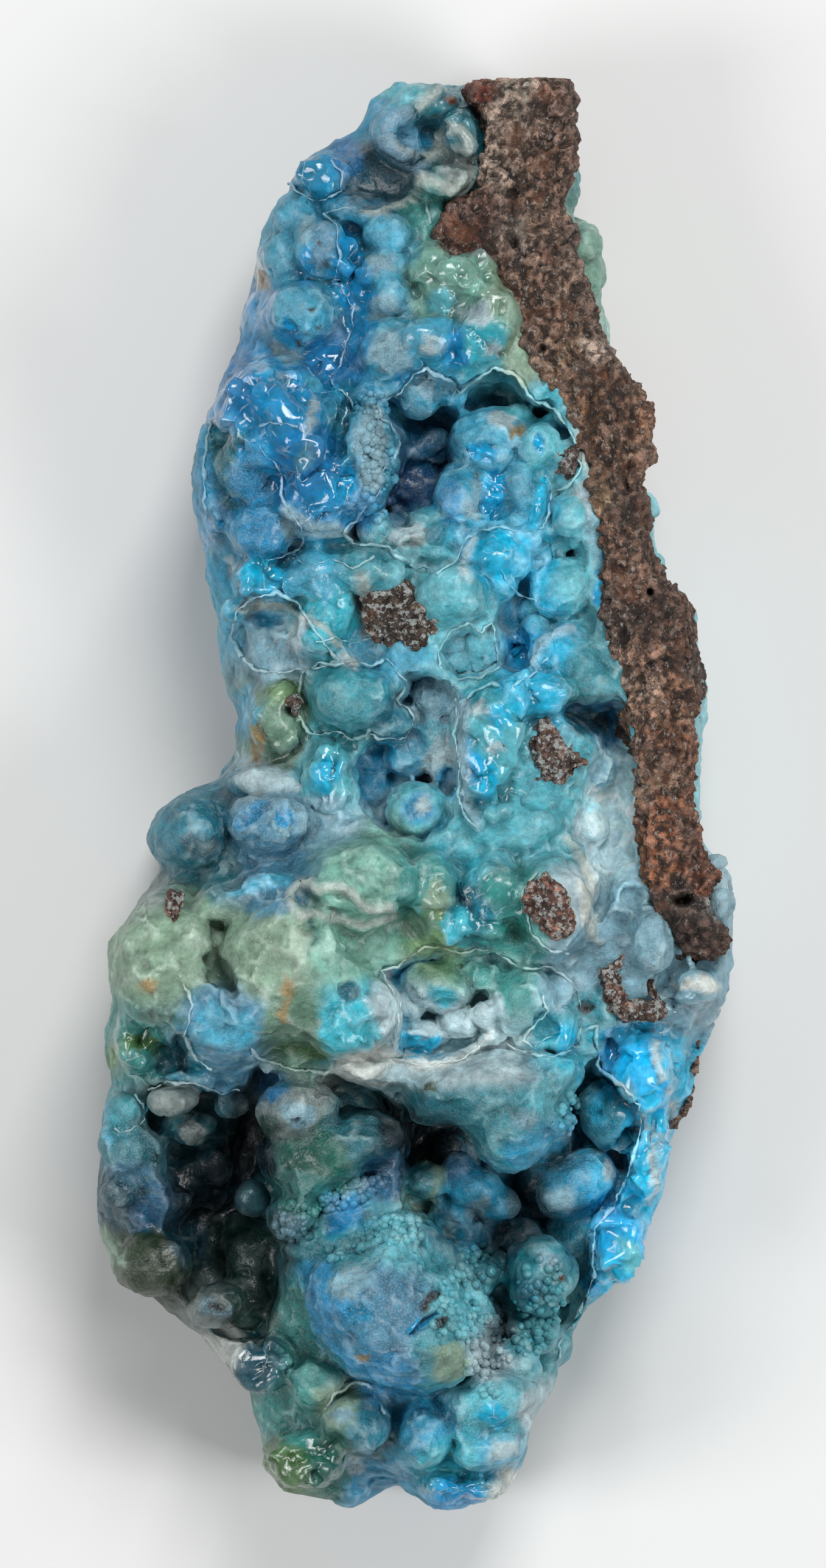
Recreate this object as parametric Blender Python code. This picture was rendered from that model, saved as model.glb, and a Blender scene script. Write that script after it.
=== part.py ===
"""Gibbsite specimen: a botryoidal blue-green crust on ironstone, lying on its trimmed back.

The frame is in metres: +Y runs to the specimen's narrow upper end, +X to its matrix side and +Z
out of its display face. The origin is at the middle of its length and width, on the flat
underside. Sizes below are in millimetres and become metres through MM.
"""

import math
import random

import bmesh
import bpy
import numpy as np
from mathutils import Matrix, Vector, noise
from mathutils.bvhtree import BVHTree

for leftover in list(bpy.data.objects):
    bpy.data.objects.remove(leftover, do_unlink=True)

MM = 0.001

# Driving dimensions of the specimen
THICKNESS = 24.0
GAP = 0.36
UNDERSIDE_DEPTH = -3.0
CRUST_UNDERCUT = 7.5
MATRIX_UNDERCUT = 2.0
FIELD_SINK = 1.2
CELL = 0.9
COARSE_VOXEL = 0.8
LEVEL_SOFTNESS = 1.6

# Triangles given to each solid after its form is made
CRUST_TRIANGLES = 5200
MATRIX_TRIANGLES = 1200
SIDE_CRUST_TRIANGLES = 320
INCLUSION_TRIANGLES = 110

# Edge of the crust, clockwise from the upper peak. Each stretch has the height at which the side
# turns from front to back, and the width over which the front rounds down to it.
CRUST_EDGE = [
    (9.0, 4.0, [(-0.8, 39.9), (0.3, 39.3), (2.0, 39.5), (3.4, 39.3)]),
    (11.0, 1.0, [
        (4.3, 38.0), (4.4, 36.5), (4.1, 33.0), (2.2, 32.4), (1.4, 30.6), (2.0, 29.4), (3.6, 30.2),
        (5.2, 29.4), (5.6, 27.8), (6.3, 25.0), (7.0, 23.8), (8.4, 22.6), (9.4, 21.2), (10.0, 18.6),
        (10.4, 16.5), (10.9, 14.0), (11.0, 10.2), (11.9, 8.2), (12.1, 5.4), (13.0, 1.8),
        (13.4, -1.5), (13.6, -3.9), (14.1, -5.4), (14.2, -7.6), (15.2, -9.2),
    ]),
    (9.0, 3.0, [
        (17.4, -9.3), (17.6, -10.9), (16.5, -13.0), (15.6, -15.2), (15.7, -16.6), (14.2, -18.9),
        (13.6, -21.5), (12.8, -24.8), (11.8, -27.0), (9.9, -28.6), (8.3, -30.8), (7.6, -33.0),
        (6.5, -35.2), (5.7, -37.4), (5.1, -38.9), (3.5, -39.4), (1.9, -40.1),
    ]),
    (8.5, 4.5, [
        (-0.9, -38.6), (-3.7, -39.6), (-7.2, -38.9), (-8.5, -37.5), (-8.6, -35.8), (-9.1, -33.4),
        (-11.2, -31.3), (-12.9, -29.5), (-15.0, -27.9), (-16.5, -27.4), (-17.2, -25.3),
        (-17.9, -22.5), (-17.5, -20.5), (-17.5, -18.2), (-16.9, -16.2), (-17.3, -13.4),
        (-16.8, -10.9), (-17.0, -8.0), (-15.9, -6.8), (-14.4, -4.2), (-14.8, -2.6), (-14.2, -1.2),
        (-12.5, 0.4), (-10.9, 0.8), (-10.1, 1.9), (-9.9, 4.2), (-10.5, 5.5), (-11.0, 9.2),
        (-11.7, 11.8), (-12.5, 16.4), (-11.9, 20.1), (-11.0, 22.2), (-9.6, 25.4), (-9.1, 29.4),
        (-7.9, 32.2), (-6.2, 35.0), (-4.6, 36.0), (-3.4, 36.8), (-2.4, 38.4),
    ]),
]

# Front levels of the crust, where its balls stand FIELD_SINK out of it: x, y, height
CRUST_LEVELS = [
    (0, 38, 13), (-2, 34, 15), (-6, 31, 15), (0, 30, 17), (3, 26, 18.5), (-6, 26, 17),
    (-8, 18, 19.5), (-3, 19, 18.5), (2, 18, 18), (7, 17, 18.5), (9, 12, 18), (4, 12, 18.6),
    (-3, 12, 18.5), (-8, 10, 16.5), (-3, 7, 18.6), (0, 8, 19.5), (6, 6, 19.5), (7.5, 2, 20),
    (0, 2, 18.5), (-7, 3, 16.5), (-8, -2, 18.5), (-12, -3, 16.5), (11, 0, 17), (-6, -7, 22),
    (-13, -9, 20.5), (-10, -12, 21.5), (-3, -11, 21.5), (3, -5, 20), (7, -6, 20), (12, -10, 18),
    (15, -11, 15.5), (3, -12, 19), (-7, -17, 19), (-14, -18, 17), (5, -17, 19), (0, -20, 17.5),
    (11, -18, 16), (12.5, -22, 14), (10, -26, 14), (-12, -24, 16), (-14, -27, 14),
    (-2.5, -28, 19), (-9, -31, 14.5), (5, -27, 16), (7, -31, 12.5), (3, -34, 16),
    (0, -36, 15.5), (-6, -36, 15), (3, -38.5, 13), (-3, -38.5, 12.5),
]

# Hollows between the balls: x, y, floor height, half-widths along and across, turn in degrees
CRUST_HOLLOWS = [
    (0.2, 18.4, 7.5, 3.3, 4.6, 0), (5.4, 18.6, 12.0, 3.4, 3.4, -20), (6.8, 11.2, 11.5, 2.7, 3.8, -40),
    (3.2, 9.2, 13.5, 1.5, 2.2, 0), (-0.3, 2.4, 10.0, 3.1, 3.6, 0), (10.9, -0.4, 9.5, 2.0, 5.2, -6),
    (2.2, -11.7, 10.5, 3.7, 3.0, 10), (-7.0, -19.8, 8.5, 7.4, 2.4, -4), (0.8, -19.5, 8.0, 3.6, 3.6, 0),
    (6.8, -22.4, 6.0, 3.9, 6.6, 12), (5.6, -30.0, 9.0, 1.9, 3.0, 10), (-10.6, -25.0, 6.5, 4.3, 4.2, 0),
    (-10.4, -9.0, 17.0, 0.8, 2.1, 22), (-2.0, 34.2, 10.5, 1.7, 1.7, 0), (-8.6, 7.2, 12.5, 1.7, 1.4, 0),
    (1.2, 36.2, 12.0, 1.0, 1.3, 0), (-4.0, -1.9, 17.5, 1.6, 0.8, 0), (-14.6, -16.6, 13.5, 1.7, 1.0, 0),
]

# Balls and lumps of the crust: x, y, top height, half-widths along and across, turn in degrees
CRUST_LUMPS = [
    # Upper end, with its curled rim
    (-1.2, 36.5, 15.4, 1.4, 1.7, 20), (0.5, 38.1, 14.6, 1.8, 1.1, 0), (2.5, 36.3, 15.8, 1.1, 1.5, 0),
    (1.5, 33.8, 17.0, 1.5, 0.9, 10), (-2.9, 32.2, 16.6, 2.2, 0.9, 0), (-5.3, 34.0, 14.4, 1.4, 1.5, 0),
    (-6.4, 32.0, 14.2, 1.4, 1.5, 0), (-5.0, 30.0, 17.0, 1.9, 1.9, 0), (-7.3, 29.4, 14.4, 1.5, 1.6, 0),
    # Translucent field above the cave
    (-1.5, 30.7, 17.9, 1.3, 1.3, 0), (-1.7, 28.2, 18.0, 1.4, 1.6, 0), (0.4, 27.1, 18.4, 1.3, 1.2, 0),
    (-1.7, 24.4, 18.9, 1.8, 1.8, 0), (-6.2, 26.3, 17.8, 1.9, 1.9, 0), (4.0, 25.4, 19.4, 1.6, 2.6, -25),
    # Upper cave
    (0.2, 21.9, 14.6, 1.5, 1.4, 0), (1.9, 22.0, 14.4, 1.0, 1.0, 0), (0.2, 19.5, 12.2, 1.8, 1.7, 0),
    (-0.3, 17.3, 12.0, 2.0, 1.9, 0), (4.0, 19.3, 16.6, 2.2, 2.1, 0), (2.6, 16.3, 16.6, 1.9, 2.2, 0),
    (4.9, 16.6, 17.8, 1.6, 1.5, 0), (7.0, 18.6, 17.2, 1.2, 1.6, 0), (-2.2, 14.3, 17.6, 1.0, 0.9, 0),
    (0.5, 14.6, 16.4, 1.3, 1.1, 0), (2.0, 13.9, 16.8, 1.0, 0.9, 0),
    # Right-hand corridor
    (4.4, 13.0, 18.4, 1.9, 1.8, 0), (8.0, 11.5, 16.4, 1.9, 1.7, 0), (3.9, 8.0, 17.6, 1.4, 1.6, 0),
    (7.5, 7.6, 18.6, 1.9, 1.1, 15),
    # Middle hollow
    (1.0, 5.2, 16.6, 1.7, 1.4, 0), (0.3, 3.6, 15.0, 1.1, 1.3, 0), (-0.2, 2.0, 14.6, 1.5, 1.5, 0),
    (-2.2, 1.3, 12.6, 1.4, 1.4, 0), (0.0, -0.8, 18.4, 1.9, 1.7, 0), (1.9, 1.6, 16.8, 0.9, 1.5, 0),
    (10.2, 1.3, 13.2, 1.2, 1.2, 0), (9.6, -1.8, 14.0, 1.1, 1.2, 0), (12.0, -5.7, 16.6, 1.1, 1.1, 0),
    # Left-hand blue mass and the plates beside it
    (-7.6, 18.8, 21.2, 3.4, 5.4, 8), (-3.3, 18.8, 20.0, 1.7, 3.0, 0), (-10.4, 16.6, 18.4, 1.5, 3.3, 0),
    (-8.2, 14.0, 19.8, 2.3, 1.8, 0), (-8.2, 11.2, 18.2, 2.5, 1.4, -15), (-5.2, 9.0, 18.8, 2.2, 2.0, -30),
    (-7.9, 4.0, 15.6, 1.7, 2.0, 0), (-12.2, -2.2, 17.6, 2.1, 2.1, 0), (-8.0, -1.8, 19.8, 2.5, 1.8, 0),
    # Green loaf across the middle
    (-13.6, -9.6, 21.8, 3.0, 4.0, 0), (-10.6, -12.4, 23.0, 3.0, 2.9, 0), (-6.3, -10.6, 24.0, 3.5, 4.5, 0),
    (-2.8, -11.6, 22.8, 2.4, 3.1, 0), (-6.4, -4.6, 22.2, 3.4, 2.0, 0), (-2.6, -5.0, 21.8, 1.9, 2.2, 0),
    (-10.6, -6.6, 22.0, 3.2, 2.2, -20), (1.6, -5.6, 21.2, 1.8, 1.7, 0), (4.2, -4.6, 21.0, 1.8, 1.6, 0),
    # Pocket below it and the broken ball at its right
    (0.8, -10.7, 15.6, 1.8, 1.3, 0), (3.8, -12.0, 16.0, 1.1, 1.1, 0), (5.8, -11.5, 19.8, 2.2, 2.3, 0),
    (8.2, -12.8, 18.8, 1.2, 1.9, 0), (0.4, -15.2, 18.2, 3.4, 0.9, 4),
    # Band under the loaf
    (-6.8, -17.2, 19.8, 2.6, 2.3, 0), (-4.0, -20.0, 18.4, 3.2, 2.3, 0), (-12.5, -18.4, 14.4, 1.8, 1.2, 0),
    (-15.4, -19.8, 16.0, 1.9, 1.7, 0), (-12.6, -16.4, 18.4, 2.0, 1.2, 0),
    # Large lower hollow with the hanging lump over it
    (5.0, -17.4, 21.0, 4.2, 3.4, -12), (1.0, -21.4, 13.0, 1.6, 1.3, 0), (3.0, -22.8, 13.0, 2.3, 1.6, 0),
    (8.6, -21.8, 12.6, 2.2, 1.9, 30), (6.8, -26.3, 14.6, 1.9, 2.5, 0), (6.3, -29.4, 13.0, 1.4, 1.5, 0),
    # Lower left hollow, the large lower ball and the bottom end
    (-14.6, -25.8, 15.0, 2.0, 2.0, 0), (-11.0, -28.2, 15.6, 1.9, 1.3, 15), (-2.6, -28.6, 23.0, 3.8, 4.1, 0),
    (0.8, -30.8, 20.0, 2.6, 2.4, 0), (3.6, -34.0, 17.8, 2.9, 1.7, 10), (3.0, -36.4, 16.6, 2.4, 1.2, 15),
    (-3.0, -35.0, 17.6, 2.2, 2.1, 0), (-6.0, -36.6, 16.2, 2.2, 1.9, 0), (-8.4, -31.4, 15.4, 2.0, 1.8, 0),
]

# Balls low on the free sides, set along the edge of the crust where no matrix lies beside it
SIDE_LUMP_SEED = 11
SIDE_LUMP_STEP = 2.6
SIDE_LUMP_RADII = (1.5, 2.6)
SIDE_LUMP_HEIGHTS = (1.5, 9.5)

# The crust's own arm up the far side of the matrix, and the thin separate crust above it
ARM_EDGE = [(9.0, 0.9, [
    (17.2, -11.6), (17.7, -9.2), (17.6, -6.4), (17.5, -4.6), (16.7, -3.5), (15.8, -2.6), (15.8, 0.6),
    (15.9, 3.2), (16.3, 5.2), (16.0, 7.4), (15.6, 9.4), (14.9, 11.0), (13.6, 11.9), (13.1, 14.2),
    (13.3, 15.8), (12.6, 16.7), (11.6, 15.6), (11.6, 12.0), (12.6, 9.8), (13.6, 6.4), (13.6, -3.0),
    (14.6, -6.0), (14.4, -10.6),
])]
ARM_LEVELS = [(14, 13, 15.0), (14.4, 7, 15.4), (14.6, 0, 15.4), (15.6, -7, 15.0), (16, -11, 15.0)]
ARM_LUMPS = [
    (12.7, 15.8, 14.0, 0.8, 0.9, 0), (13.8, 12.4, 15.4, 0.9, 1.0, 0), (14.8, 9.6, 15.2, 0.9, 1.1, 0),
    (15.2, 6.0, 14.4, 1.0, 1.2, 0), (14.9, 2.4, 14.8, 1.0, 1.4, 0), (14.8, -1.0, 14.2, 0.9, 1.3, 0),
    (16.5, -4.8, 15.2, 1.0, 1.0, 0), (16.6, -7.6, 16.2, 1.0, 1.4, 0),
]
SIDE_CRUST_EDGE = [(9.0, 0.9, [
    (8.6, 34.8), (9.1, 34.6), (8.7, 33.0), (8.6, 31.6), (9.9, 31.1), (10.4, 28.8), (10.1, 27.4),
    (10.6, 25.4), (10.6, 24.2), (9.4, 24.4), (8.2, 27.0), (7.6, 30.4), (7.4, 33.6),
])]
SIDE_CRUST_LEVELS = [(8.4, 34, 12.0), (9, 30, 14.6), (9.8, 26, 13.4)]
SIDE_CRUST_LUMPS = [
    (9.3, 30.2, 15.2, 0.9, 1.0, 0), (9.4, 28.4, 14.4, 0.8, 1.0, 0), (9.7, 25.8, 13.4, 0.7, 0.9, 0),
    (8.3, 33.4, 12.2, 0.6, 1.0, 0),
]

# Ironstone matrix: its edge, front levels and the small wear of its broken face
MATRIX_EDGE = [(9.0, 1.6, [
    (2.6, 39.0), (3.4, 39.4), (8.4, 39.4), (8.7, 37.6), (9.0, 35.2), (8.3, 33.6), (8.1, 32.2),
    (8.8, 30.6), (9.4, 28.0), (10.2, 25.2), (11.2, 23.4), (12.5, 21.8), (13.0, 20.4), (12.8, 18.4),
    (12.2, 16.6), (12.3, 13.4), (13.2, 11.2), (14.4, 9.0), (15.0, 6.0), (14.9, 2.2), (14.8, -1.8),
    (15.7, -4.0), (16.6, -5.6), (16.5, -9.0), (15.9, -12.6), (15.3, -15.4), (15.3, -17.4),
    (14.0, -18.7), (12.9, -16.6), (13.3, -12.6), (13.0, -8.6), (12.6, -5.6), (13.2, -3.4),
    (13.3, 0.0), (12.2, 3.2), (11.2, 6.8), (10.3, 10.0), (10.2, 13.6), (9.4, 17.6), (8.8, 20.4),
    (7.6, 22.4), (6.2, 23.4), (5.4, 25.4), (4.8, 28.2), (3.4, 29.4), (1.9, 28.8), (0.9, 30.6),
    (1.8, 32.6), (3.4, 33.4), (3.6, 36.6),
])]
MATRIX_LEVELS = [
    (5, 37, 14.5), (6, 32, 16.0), (7.5, 27, 16.8), (9.5, 23, 16.8), (11, 19, 17.0), (11.8, 14, 17.2),
    (13, 8, 17.4), (14, 3, 17.2), (14.2, -2, 17.0), (15, -7, 17.4), (14.6, -11, 12.0), (14.4, -16, 10.5),
    (2.4, 31, 16.6),
]
MATRIX_PITS = [
    (7.2, 35.4, 12.6, 0.9, 1.6, 0), (9.4, 25.6, 14.8, 0.8, 1.1, 30), (11.8, 17.4, 15.0, 0.7, 1.6, 0),
    (13.0, 5.8, 15.2, 0.9, 1.2, 0), (14.6, -4.4, 14.6, 1.0, 0.9, 0),
]
MATRIX_ROUGHNESS = 0.8
MATRIX_GRAIN = 3.2

# Ironstone fragments set in the crust: each is lumps at x, y, half-widths, turn in degrees.
# They sink by SINK of their half-depth below the crust's face and stand proud by the rest.
INCLUSIONS = [
    [(-0.9, 10.2, 2.0, 1.7, 20), (0.4, 9.3, 1.3, 1.3, 0)],
    [(7.7, 2.3, 1.6, 1.8, 0)],
    [(7.3, -6.0, 1.5, 1.9, -10)],
    [(11.2, -9.4, 0.8, 1.0, 20), (10.9, -10.8, 0.8, 1.2, 10), (12.2, -12.0, 1.4, 0.8, -25),
     (13.1, -10.9, 0.8, 1.0, 0)],
    [(8.4, 18.1, 0.7, 1.1, 0)],
    [(-13.2, -6.3, 0.7, 1.2, -15)],
    [(-6.8, 4.7, 0.7, 0.7, 0)],
]
INCLUSION_DEPTH = 1.5
INCLUSION_SINK = 0.55
INCLUSION_VOXEL = 0.3
INCLUSION_ROUGHNESS = 0.16
INCLUSION_GRAIN = 1.1


def stone_material(name, colour, roughness):
    """A Principled material in one colour, for one kind of stone."""
    material = bpy.data.materials.new(name)
    material.use_nodes = True
    shader = material.node_tree.nodes["Principled BSDF"]
    shader.inputs["Base Color"].default_value = (*colour, 1.0)
    shader.inputs["Roughness"].default_value = roughness
    shader.inputs["Metallic"].default_value = 0.0
    return material


def solid_object(name, mesh):
    """Put a mesh in the scene as an object of its own."""
    solid = bpy.data.objects.new(name, mesh)
    bpy.context.scene.collection.objects.link(solid)
    return solid


def mesh_from(name, form):
    """Turn a bmesh into a mesh and free it."""
    mesh = bpy.data.meshes.new(name)
    form.to_mesh(mesh)
    form.free()
    return mesh


def settle(solid):
    """Give a solid the mesh that its modifiers make, and drop the modifiers."""
    bpy.context.view_layer.update()
    shaped = solid.evaluated_get(bpy.context.evaluated_depsgraph_get())
    solid.data = bpy.data.meshes.new_from_object(shaped)
    solid.modifiers.clear()


def remesh(solid, voxel):
    """Melt all that is in a solid into one skin."""
    modifier = solid.modifiers.new("Skin", "REMESH")
    modifier.mode = "VOXEL"
    modifier.voxel_size = voxel * MM
    settle(solid)


def thin_out(solid, triangles):
    """Bring a solid down to about so many triangles, kept where it curves most."""
    form = bmesh.new()
    form.from_mesh(solid.data)
    bmesh.ops.triangulate(form, faces=form.faces)
    form.to_mesh(solid.data)
    form.free()
    modifier = solid.modifiers.new("Facets", "DECIMATE")
    modifier.ratio = triangles / len(solid.data.polygons)
    settle(solid)


def boolean(solid, tool, operation):
    """Cut a solid with another, or add the other to it, and remove the tool."""
    tool.hide_render = True
    tool.display_type = "WIRE"
    modifier = solid.modifiers.new("Cut", "BOOLEAN")
    modifier.operation = operation
    modifier.object = tool
    settle(solid)
    bpy.data.objects.remove(tool, do_unlink=True)


def keep_largest_body(solid):
    """Drop crumbs that a cut leaves loose."""
    form = bmesh.new()
    form.from_mesh(solid.data)
    unseen = set(form.verts)
    bodies = []
    while unseen:
        body = set()
        front = [next(iter(unseen))]
        while front:
            vertex = front.pop()
            if vertex in body:
                continue
            body.add(vertex)
            front.extend(edge.other_vert(vertex) for edge in vertex.link_edges)
        unseen -= body
        bodies.append(body)
    largest = max(bodies, key=len)
    crumbs = [vertex for vertex in form.verts if vertex not in largest]
    bmesh.ops.delete(form, geom=crumbs, context="VERTS")
    form.to_mesh(solid.data)
    form.free()


def edge_table(stretches):
    """The edge's corners, each with its rim height and shoulder width."""
    return np.array([
        (x, y, rim, shoulder) for rim, shoulder, corners in stretches for x, y in corners
    ])


def nearest_on_edge(points, table):
    """For each point: its distance inside the edge, and the edge's place, rim and shoulder there."""
    starts = table
    ends = np.roll(table, -1, axis=0)
    runs = ends[:, :2] - starts[:, :2]
    offsets = points[:, None, :] - starts[None, :, :2]
    share = (offsets * runs).sum(axis=2) / (runs ** 2).sum(axis=1)
    share = np.clip(share, 0.0, 1.0)
    feet = starts[None] + share[..., None] * (ends - starts)[None]
    distance = np.linalg.norm(points[:, None, :] - feet[..., :2], axis=2)
    nearest = distance.argmin(axis=1)
    rows = np.arange(len(points))
    crosses = (starts[:, 1] > points[:, None, 1]) != (ends[:, 1] > points[:, None, 1])
    climb = np.where(runs[:, 1] == 0.0, 1.0, runs[:, 1])
    crossing_x = starts[:, 0] + (points[:, None, 1] - starts[:, 1]) / climb * runs[:, 0]
    inside = (crosses & (points[:, None, 0] < crossing_x)).sum(axis=1) % 2 == 1
    depth = np.where(inside, 1.0, -1.0) * distance[rows, nearest]
    return depth, feet[rows, nearest]


def level_at(points, levels):
    """Height of the front between its named levels."""
    table = np.array(levels, dtype=float)
    spans = ((points[:, None, :] - table[None, :, :2]) ** 2).sum(axis=2)
    weights = 1.0 / (spans + LEVEL_SOFTNESS ** 2) ** 2
    return (weights * table[:, 2]).sum(axis=1) / weights.sum(axis=1)


def quarter_round(depth, width):
    """Rise from 0 at the edge to 1 at the shoulder's inner side, as a quarter of a circle."""
    reach = np.clip(depth / width, 0.0, 1.0)
    return np.sqrt(1.0 - (1.0 - reach) ** 2)


def pillow(name, stretches, levels, undercut):
    """A closed body whose front and back sheets meet along the edge's outline."""
    table = edge_table(stretches)
    low = table[:, :2].min(axis=0) - CELL
    high = table[:, :2].max(axis=0) + CELL
    cells = np.ceil((high - low) / CELL).astype(int)
    form = bmesh.new()
    place = Matrix.Translation((*((low + high) / 2), 0.0)) @ Matrix.Diagonal((*(high - low), 1.0, 1.0))
    bmesh.ops.create_grid(
        form, x_segments=int(cells[0]), y_segments=int(cells[1]), size=0.5, matrix=place
    )
    centres = np.array([face.calc_center_median()[:2] for face in form.faces])
    depth, _ = nearest_on_edge(centres, table)
    outside = [face for face, inner in zip(form.faces, depth) if inner <= 0.0]
    bmesh.ops.delete(form, geom=outside, context="FACES")
    for vertex in [v for v in form.verts if v.is_boundary]:
        _, foot = nearest_on_edge(np.array([vertex.co[:2]]), table)
        vertex.co.x, vertex.co.y = foot[0][:2]
    back = bmesh.ops.duplicate(form, geom=form.verts[:] + form.edges[:] + form.faces[:])["geom"]
    back_faces = [part for part in back if isinstance(part, bmesh.types.BMFace)]
    back_points = {part for part in back if isinstance(part, bmesh.types.BMVert)}
    bmesh.ops.reverse_faces(form, faces=back_faces)
    form.verts.ensure_lookup_table()
    points = np.array([vertex.co[:2] for vertex in form.verts])
    depth, foot = nearest_on_edge(points, table)
    depth = np.where(depth < 1e-3, 0.0, depth)
    rim, shoulder = foot[:, 2], foot[:, 3]
    front_z = rim + (level_at(points, levels) - rim) * quarter_round(depth, shoulder)
    back_z = rim + (UNDERSIDE_DEPTH - rim) * np.clip(depth / undercut, 0.0, 1.0)
    for vertex, high_z, low_z in zip(form.verts, front_z, back_z):
        vertex.co.z = low_z if vertex in back_points else high_z
    bmesh.ops.remove_doubles(form, verts=form.verts, dist=1e-3)
    bmesh.ops.scale(form, vec=(MM, MM, MM), verts=form.verts)
    return solid_object(name, mesh_from(name, form))


def lump_into(form, x, y, middle, along, across, depth, turn):
    """Add one ball or lump, given in millimetres, to a form in metres."""
    place = (
        Matrix.Translation(Vector((x, y, middle)) * MM)
        @ Matrix.Rotation(math.radians(turn), 4, "Z")
        @ Matrix.Diagonal((along * MM, across * MM, depth * MM, 1.0))
    )
    bmesh.ops.create_icosphere(form, subdivisions=3, radius=1.0, matrix=place)


def lumps_object(name, lumps):
    """Balls that stand up to the heights given for their tops."""
    form = bmesh.new()
    for x, y, top, along, across, turn in lumps:
        depth = 1.15 * max(along, across)
        lump_into(form, x, y, top - depth, along, across, depth, turn)
    return solid_object(name, mesh_from(name, form))


def hollows_object(name, hollows, mouth):
    """Bowls that reach from above the front, at height mouth, down to their floors."""
    form = bmesh.new()
    for x, y, floor, along, across, turn in hollows:
        lump_into(form, x, y, mouth, along, across, mouth - floor, turn)
    hollow = solid_object(name, mesh_from(name, form))
    remesh(hollow, COARSE_VOXEL)
    return hollow


def join(solid, others):
    """Take other solids into one object, still as separate skins."""
    form = bmesh.new()
    for part in [solid, *others]:
        form.from_mesh(part.data)
    solid.data = mesh_from(solid.name, form)
    for part in others:
        bpy.data.objects.remove(part, do_unlink=True)


def roughen(solid, amount, grain):
    """Push a solid's skin in and out by smooth noise."""
    form = bmesh.new()
    form.from_mesh(solid.data)
    form.normal_update()
    for vertex in form.verts:
        wave = noise.fractal(vertex.co / (grain * MM), 1.0, 2.0, 3)
        vertex.co += vertex.normal * (wave * amount * MM)
    form.to_mesh(solid.data)
    form.free()


def grown_copy(solid, amount):
    """A copy of a solid with its skin moved outwards, to cut a pocket with clearance."""
    form = bmesh.new()
    form.from_mesh(solid.data)
    form.normal_update()
    shifts = [vertex.normal * (amount * MM) for vertex in form.verts]
    for vertex, shift in zip(form.verts, shifts):
        vertex.co += shift
    return solid_object("pocket", mesh_from("pocket", form))


def trim_underside(solid):
    """Saw the back off flat at height zero."""
    form = bmesh.new()
    form.from_mesh(solid.data)
    geometry = form.verts[:] + form.edges[:] + form.faces[:]
    bmesh.ops.bisect_plane(
        form, geom=geometry, dist=1e-7, plane_co=(0, 0, 0), plane_no=(0, 0, 1), clear_inner=True
    )
    rim = [edge for edge in form.edges if edge.is_boundary]
    bmesh.ops.holes_fill(form, edges=rim, sides=0)
    bmesh.ops.triangulate(form, faces=[face for face in form.faces if len(face.verts) > 3])
    form.to_mesh(solid.data)
    form.free()


def side_lumps():
    """Balls around the crust's free edge, below its widest line, placed by a seeded draw."""
    draw = random.Random(SIDE_LUMP_SEED)
    lumps = []
    free_edge = [corner for _, _, corners in CRUST_EDGE[2:] for corner in corners]
    for start, end in zip(free_edge, free_edge[1:]):
        run = Vector(end) - Vector(start)
        inward = Vector((run.y, -run.x)).normalized()
        for step in range(max(1, round(run.length / SIDE_LUMP_STEP))):
            radius = draw.uniform(*SIDE_LUMP_RADII)
            place = Vector(start) + run * ((step + 0.5) / max(1, round(run.length / SIDE_LUMP_STEP)))
            place += inward * radius
            top = draw.uniform(*SIDE_LUMP_HEIGHTS) + radius
            lumps.append((place.x, place.y, top, radius, radius, 0))
    return lumps


def build_matrix():
    """Broken ironstone slab with a few pits, flat where the specimen was trimmed."""
    matrix = pillow("ironstone_matrix", MATRIX_EDGE, MATRIX_LEVELS, MATRIX_UNDERCUT)
    remesh(matrix, COARSE_VOXEL)
    boolean(matrix, hollows_object("pits", MATRIX_PITS, THICKNESS), "DIFFERENCE")
    remesh(matrix, COARSE_VOXEL)
    roughen(matrix, MATRIX_ROUGHNESS, MATRIX_GRAIN)
    thin_out(matrix, MATRIX_TRIANGLES)
    trim_underside(matrix)
    keep_largest_body(matrix)
    return matrix


def build_crust(matrix):
    """The main crust: a pillow with hollows, grown over by balls, with its arm round the matrix."""
    field = [(x, y, height - FIELD_SINK) for x, y, height in CRUST_LEVELS]
    crust = pillow("gibbsite", CRUST_EDGE, field, CRUST_UNDERCUT)
    remesh(crust, COARSE_VOXEL)
    boolean(crust, hollows_object("hollows", CRUST_HOLLOWS, THICKNESS), "DIFFERENCE")
    arm = pillow("arm", ARM_EDGE, ARM_LEVELS, MATRIX_UNDERCUT)
    join(crust, [arm, lumps_object("balls", CRUST_LUMPS + ARM_LUMPS + side_lumps())])
    remesh(crust, COARSE_VOXEL)
    keep_largest_body(crust)
    thin_out(crust, CRUST_TRIANGLES)
    trim_underside(crust)
    boolean(crust, grown_copy(matrix, GAP), "DIFFERENCE")
    keep_largest_body(crust)
    return crust


def build_side_crust(matrix):
    """Thin crust on the far side of the matrix, near its upper end."""
    crust = pillow("side_crust", SIDE_CRUST_EDGE, SIDE_CRUST_LEVELS, MATRIX_UNDERCUT)
    join(crust, [lumps_object("beads", SIDE_CRUST_LUMPS)])
    remesh(crust, COARSE_VOXEL / 2)
    thin_out(crust, SIDE_CRUST_TRIANGLES)
    trim_underside(crust)
    boolean(crust, grown_copy(matrix, GAP), "DIFFERENCE")
    keep_largest_body(crust)
    return crust


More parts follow.
